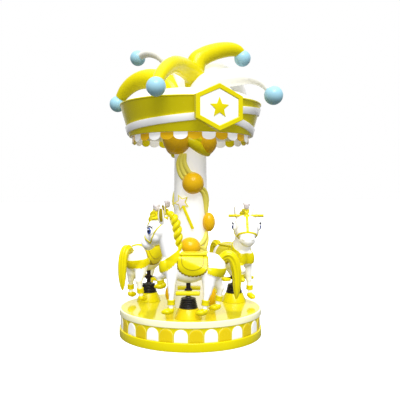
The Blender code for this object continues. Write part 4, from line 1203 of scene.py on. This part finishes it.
def make_horses():
    skin = make_skin(HEAD_TURN)
    hugger = Hugger(make_skin(Matrix.Identity(4)))
    bore = lathe([(0, 0.2), (POST_RADIUS + 0.0005, 0.2), (POST_RADIUS + 0.0005, POST_TOP + 0.0005),
                  (0, POST_TOP + 0.0005)], 32, False)
    body = combined(skin, bore, "DIFFERENCE")
    ears = [make_ear(side) for side in (-1, 1)]
    eyes = [make_eye(hugger, side) for side in (-1, 1)]
    ornament, poll_ball, plume = make_head_dress()
    plates, axle = make_footrest()
    head = {
        "ears": (merged([outer for outer, _ in ears]), WHITE, []),
        # The ear hollows' gold is darkened as painted shade.
        "ear_hollows": (merged([inner for _, inner in ears]), SHADE_GOLD, []),
        "eye_whites": (merged([e["white"] for e in eyes]), EYE_WHITE, []),
        "eye_irises": (merged([e["iris"] for e in eyes]), IRIS, []),
        "eye_lashes": (merged([e["ink"] for e in eyes]), INK, []),
        "eye_glints": (merged([e["glint"] for e in eyes]), EYE_WHITE, []),
        "bridle": (make_bridle(hugger), YELLOW, []),
        "ornament": (ornament, YELLOW, ["plume"]),
        "poll_ball": (poll_ball, YELLOW, []),
        "feathers": (plume, PEARL, []),
        "grips": (make_handlebar(), YELLOW, ["handlebar"]),
    }
    parts = {name: (moved(mesh, HEAD_TURN), material, nodes) for name, (mesh, material, nodes) in head.items()}
    parts |= {
        "skin": (body, WHITE, ["casting"]),
        "braid": (make_mane(), YELLOW, ["mane"]),
        "tail_lock": (make_tail(), YELLOW, ["tail"]),
        "seat": (make_seat(), YELLOW, ["saddle"]),
        "hooves": (merged([make_hoof(*h) for h in HOOVES]), YELLOW, []),
        "cuffs": (merged([make_cuff(*c) for c in CUFFS]), YELLOW, []),
        "foot_plates": (plates, YELLOW, ["footrest"]),
        "footrest_axle": (axle, STEEL, []),
        "post_tube": (make_post(), STEEL, ["post"]),
    }
    for name, (mesh, material) in make_tack(skin).items():
        parts[name] = (mesh, material, [])
    pedestal = make_pedestal()
    bellows = make_bellows()
    for number, azimuth in enumerate(HORSE_AZIMUTHS, 1):
        place = (Matrix.Translation(on_azimuth(azimuth, POST_CIRCLE, DECK_TOP))
                 @ Matrix.Rotation(azimuth - math.pi, 4, "Z"))
        body_name = f"horse_{number}"
        for name, (mesh, material, nodes) in parts.items():
            replaced = [f"horse_{number}_{node}" for node in nodes]
            piece(f"horse_{number}_{name}", moved(mesh, place), material, body_name, replaced)
        piece(f"horse_{number}_stand", moved(pedestal, place), GOLD if number == 1 else YELLOW, "turntable",
              [f"horse_{number}_pedestal"])
        make_bellows_piece(number, moved(bellows, place))


def make_bellows_piece(number, mesh):
    mesh.name = f"horse_{number}_folds"
    mesh.materials.clear()
    mesh.materials.append(RUBBER)
    mesh.shade_smooth()
    mesh.set_sharp_from_angle(angle=math.radians(50))
    obj = bpy.data.objects.new(f"horse_{number}_folds", mesh)
    bpy.context.scene.collection.objects.link(obj)
    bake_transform(obj)
    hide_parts(f"horse_{number}_bellows")


# Studio

def make_studio():
    scene = bpy.context.scene
    scene.view_settings.view_transform = "Standard"
    scene.view_settings.look = "None"
    world = bpy.data.worlds.new("studio")
    scene.world = world
    world.use_nodes = True
    nodes = world.node_tree.nodes
    link = world.node_tree.links.new
    background = nodes["Background"]
    background.inputs["Strength"].default_value = SKY_STRENGTH
    coords = nodes.new("ShaderNodeTexCoord")
    split = nodes.new("ShaderNodeSeparateXYZ")
    link(coords.outputs["Generated"], split.inputs["Vector"])

    def ramp(value, low, high, dark, bright):
        made = nodes.new("ShaderNodeMapRange")
        made.inputs["From Min"].default_value = low
        made.inputs["From Max"].default_value = high
        made.inputs["To Min"].default_value = dark
        made.inputs["To Max"].default_value = bright
        link(value, made.inputs["Value"])
        return made.outputs["Result"]

    def math_node(operation, first, second):
        made = nodes.new("ShaderNodeMath")
        made.operation = operation
        for socket, value in zip(made.inputs, (first, second)):
            if isinstance(value, (int, float)):
                socket.default_value = value
            else:
                link(value, socket)
        return made.outputs["Value"]

    sky = ramp(split.outputs["Z"], -0.1, 0.8, 0.16, 0.95)
    ahead = nodes.new("ShaderNodeVectorMath")
    ahead.operation = "DOT_PRODUCT"
    ahead.inputs[1].default_value = (-math.sin(CAMERA_AZIMUTH), math.cos(CAMERA_AZIMUTH), 0)
    link(coords.outputs["Generated"], ahead.inputs[0])
    backdrop = ramp(ahead.outputs["Value"], 0.35, 0.75, 0.0, 1.0)
    softbox = ramp(split.outputs["Z"], 0.70, 0.95, 0.12, 1.6)
    mirrored = math_node("MAXIMUM", backdrop, softbox)
    rays = nodes.new("ShaderNodeLightPath")
    diffuse = math_node("MULTIPLY", rays.outputs["Is Diffuse Ray"], sky)
    glossy = math_node("MULTIPLY", rays.outputs["Is Glossy Ray"], mirrored)
    link(math_node("ADD", math_node("ADD", diffuse, glossy), rays.outputs["Is Camera Ray"]),
         background.inputs["Color"])

    for name, power, shadow in (("key", 2.1, True), ("fill", 2.5, False)):
        sun = bpy.data.lights.new(name, "SUN")
        sun.energy = power
        sun.angle = math.radians(40)
        sun.use_shadow = shadow
        lamp = bpy.data.objects.new(name, sun)
        lamp.rotation_euler = Vector(KEY_WAY).to_track_quat("-Z", "Y").to_euler()
        scene.collection.objects.link(lamp)

    floor_material = bpy.data.materials.new("studio_floor")
    floor_material.use_nodes = True
    floor_nodes = floor_material.node_tree.nodes
    shader = floor_nodes["Principled BSDF"]
    path = floor_nodes.new("ShaderNodeLightPath")
    tone = floor_nodes.new("ShaderNodeMix")
    tone.data_type = "RGBA"
    tone.inputs["A"].default_value = (0.97, 0.97, 0.97, 1)
    tone.inputs["B"].default_value = (0.14, 0.14, 0.14, 1)
    seen = floor_nodes.new("ShaderNodeMath")
    seen.operation = "SUBTRACT"
    seen.inputs[0].default_value = 1.0
    floor_material.node_tree.links.new(path.outputs["Is Camera Ray"], seen.inputs[1])
    floor_material.node_tree.links.new(seen.outputs["Value"], tone.inputs["Factor"])
    floor_material.node_tree.links.new(tone.outputs["Result"], shader.inputs["Base Color"])
    shader.inputs["Roughness"].default_value = 0.9
    shader.inputs["Specular IOR Level"].default_value = 0.1
    floor = bpy.data.objects.new("floor", mesh_of(
        [Vector((x, y, 0)) for x, y in ((-60, -60), (60, -60), (60, 60), (-60, 60))], [(0, 1, 2, 3)]))
    floor.data.materials.append(floor_material)
    bpy.context.scene.collection.objects.link(floor)

    camera = bpy.data.cameras.new("camera")
    camera.lens = 50
    camera.sensor_width = 36
    camera.shift_x = 0.024
    camera.shift_y = -0.025
    eye = bpy.data.objects.new("camera", camera)
    eye.location = on_azimuth(CAMERA_AZIMUTH, CAMERA_DISTANCE, CAMERA_HEIGHT)
    eye.rotation_euler = (math.pi / 2, 0, CAMERA_AZIMUTH)
    scene.collection.objects.link(eye)
    scene.camera = eye


CAMERA_AZIMUTH = math.radians(-21)
SKY_STRENGTH = 1.0
KEY_WAY = (0.22, 0.78, -0.95)
CAMERA_DISTANCE = 5.93
CAMERA_HEIGHT = 1.52


def dress_nodes():
    """Materials of the solids that stay in view."""
    looks = {"deck": DECK, "base_pan": GREY, "bearing": GREY}
    for name, material in looks.items():
        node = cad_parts[name]
        node.data.materials.clear()
        node.data.materials.append(material)


def main():
    dress_nodes()
    make_base()
    make_turntable()
    make_garland("garland_front", 0)
    make_garland("garland_back", math.pi)
    make_wand()
    make_canopy()
    make_valance()
    make_ribbon()
    make_sign()
    make_horns()
    make_horses()
    make_studio()


main()
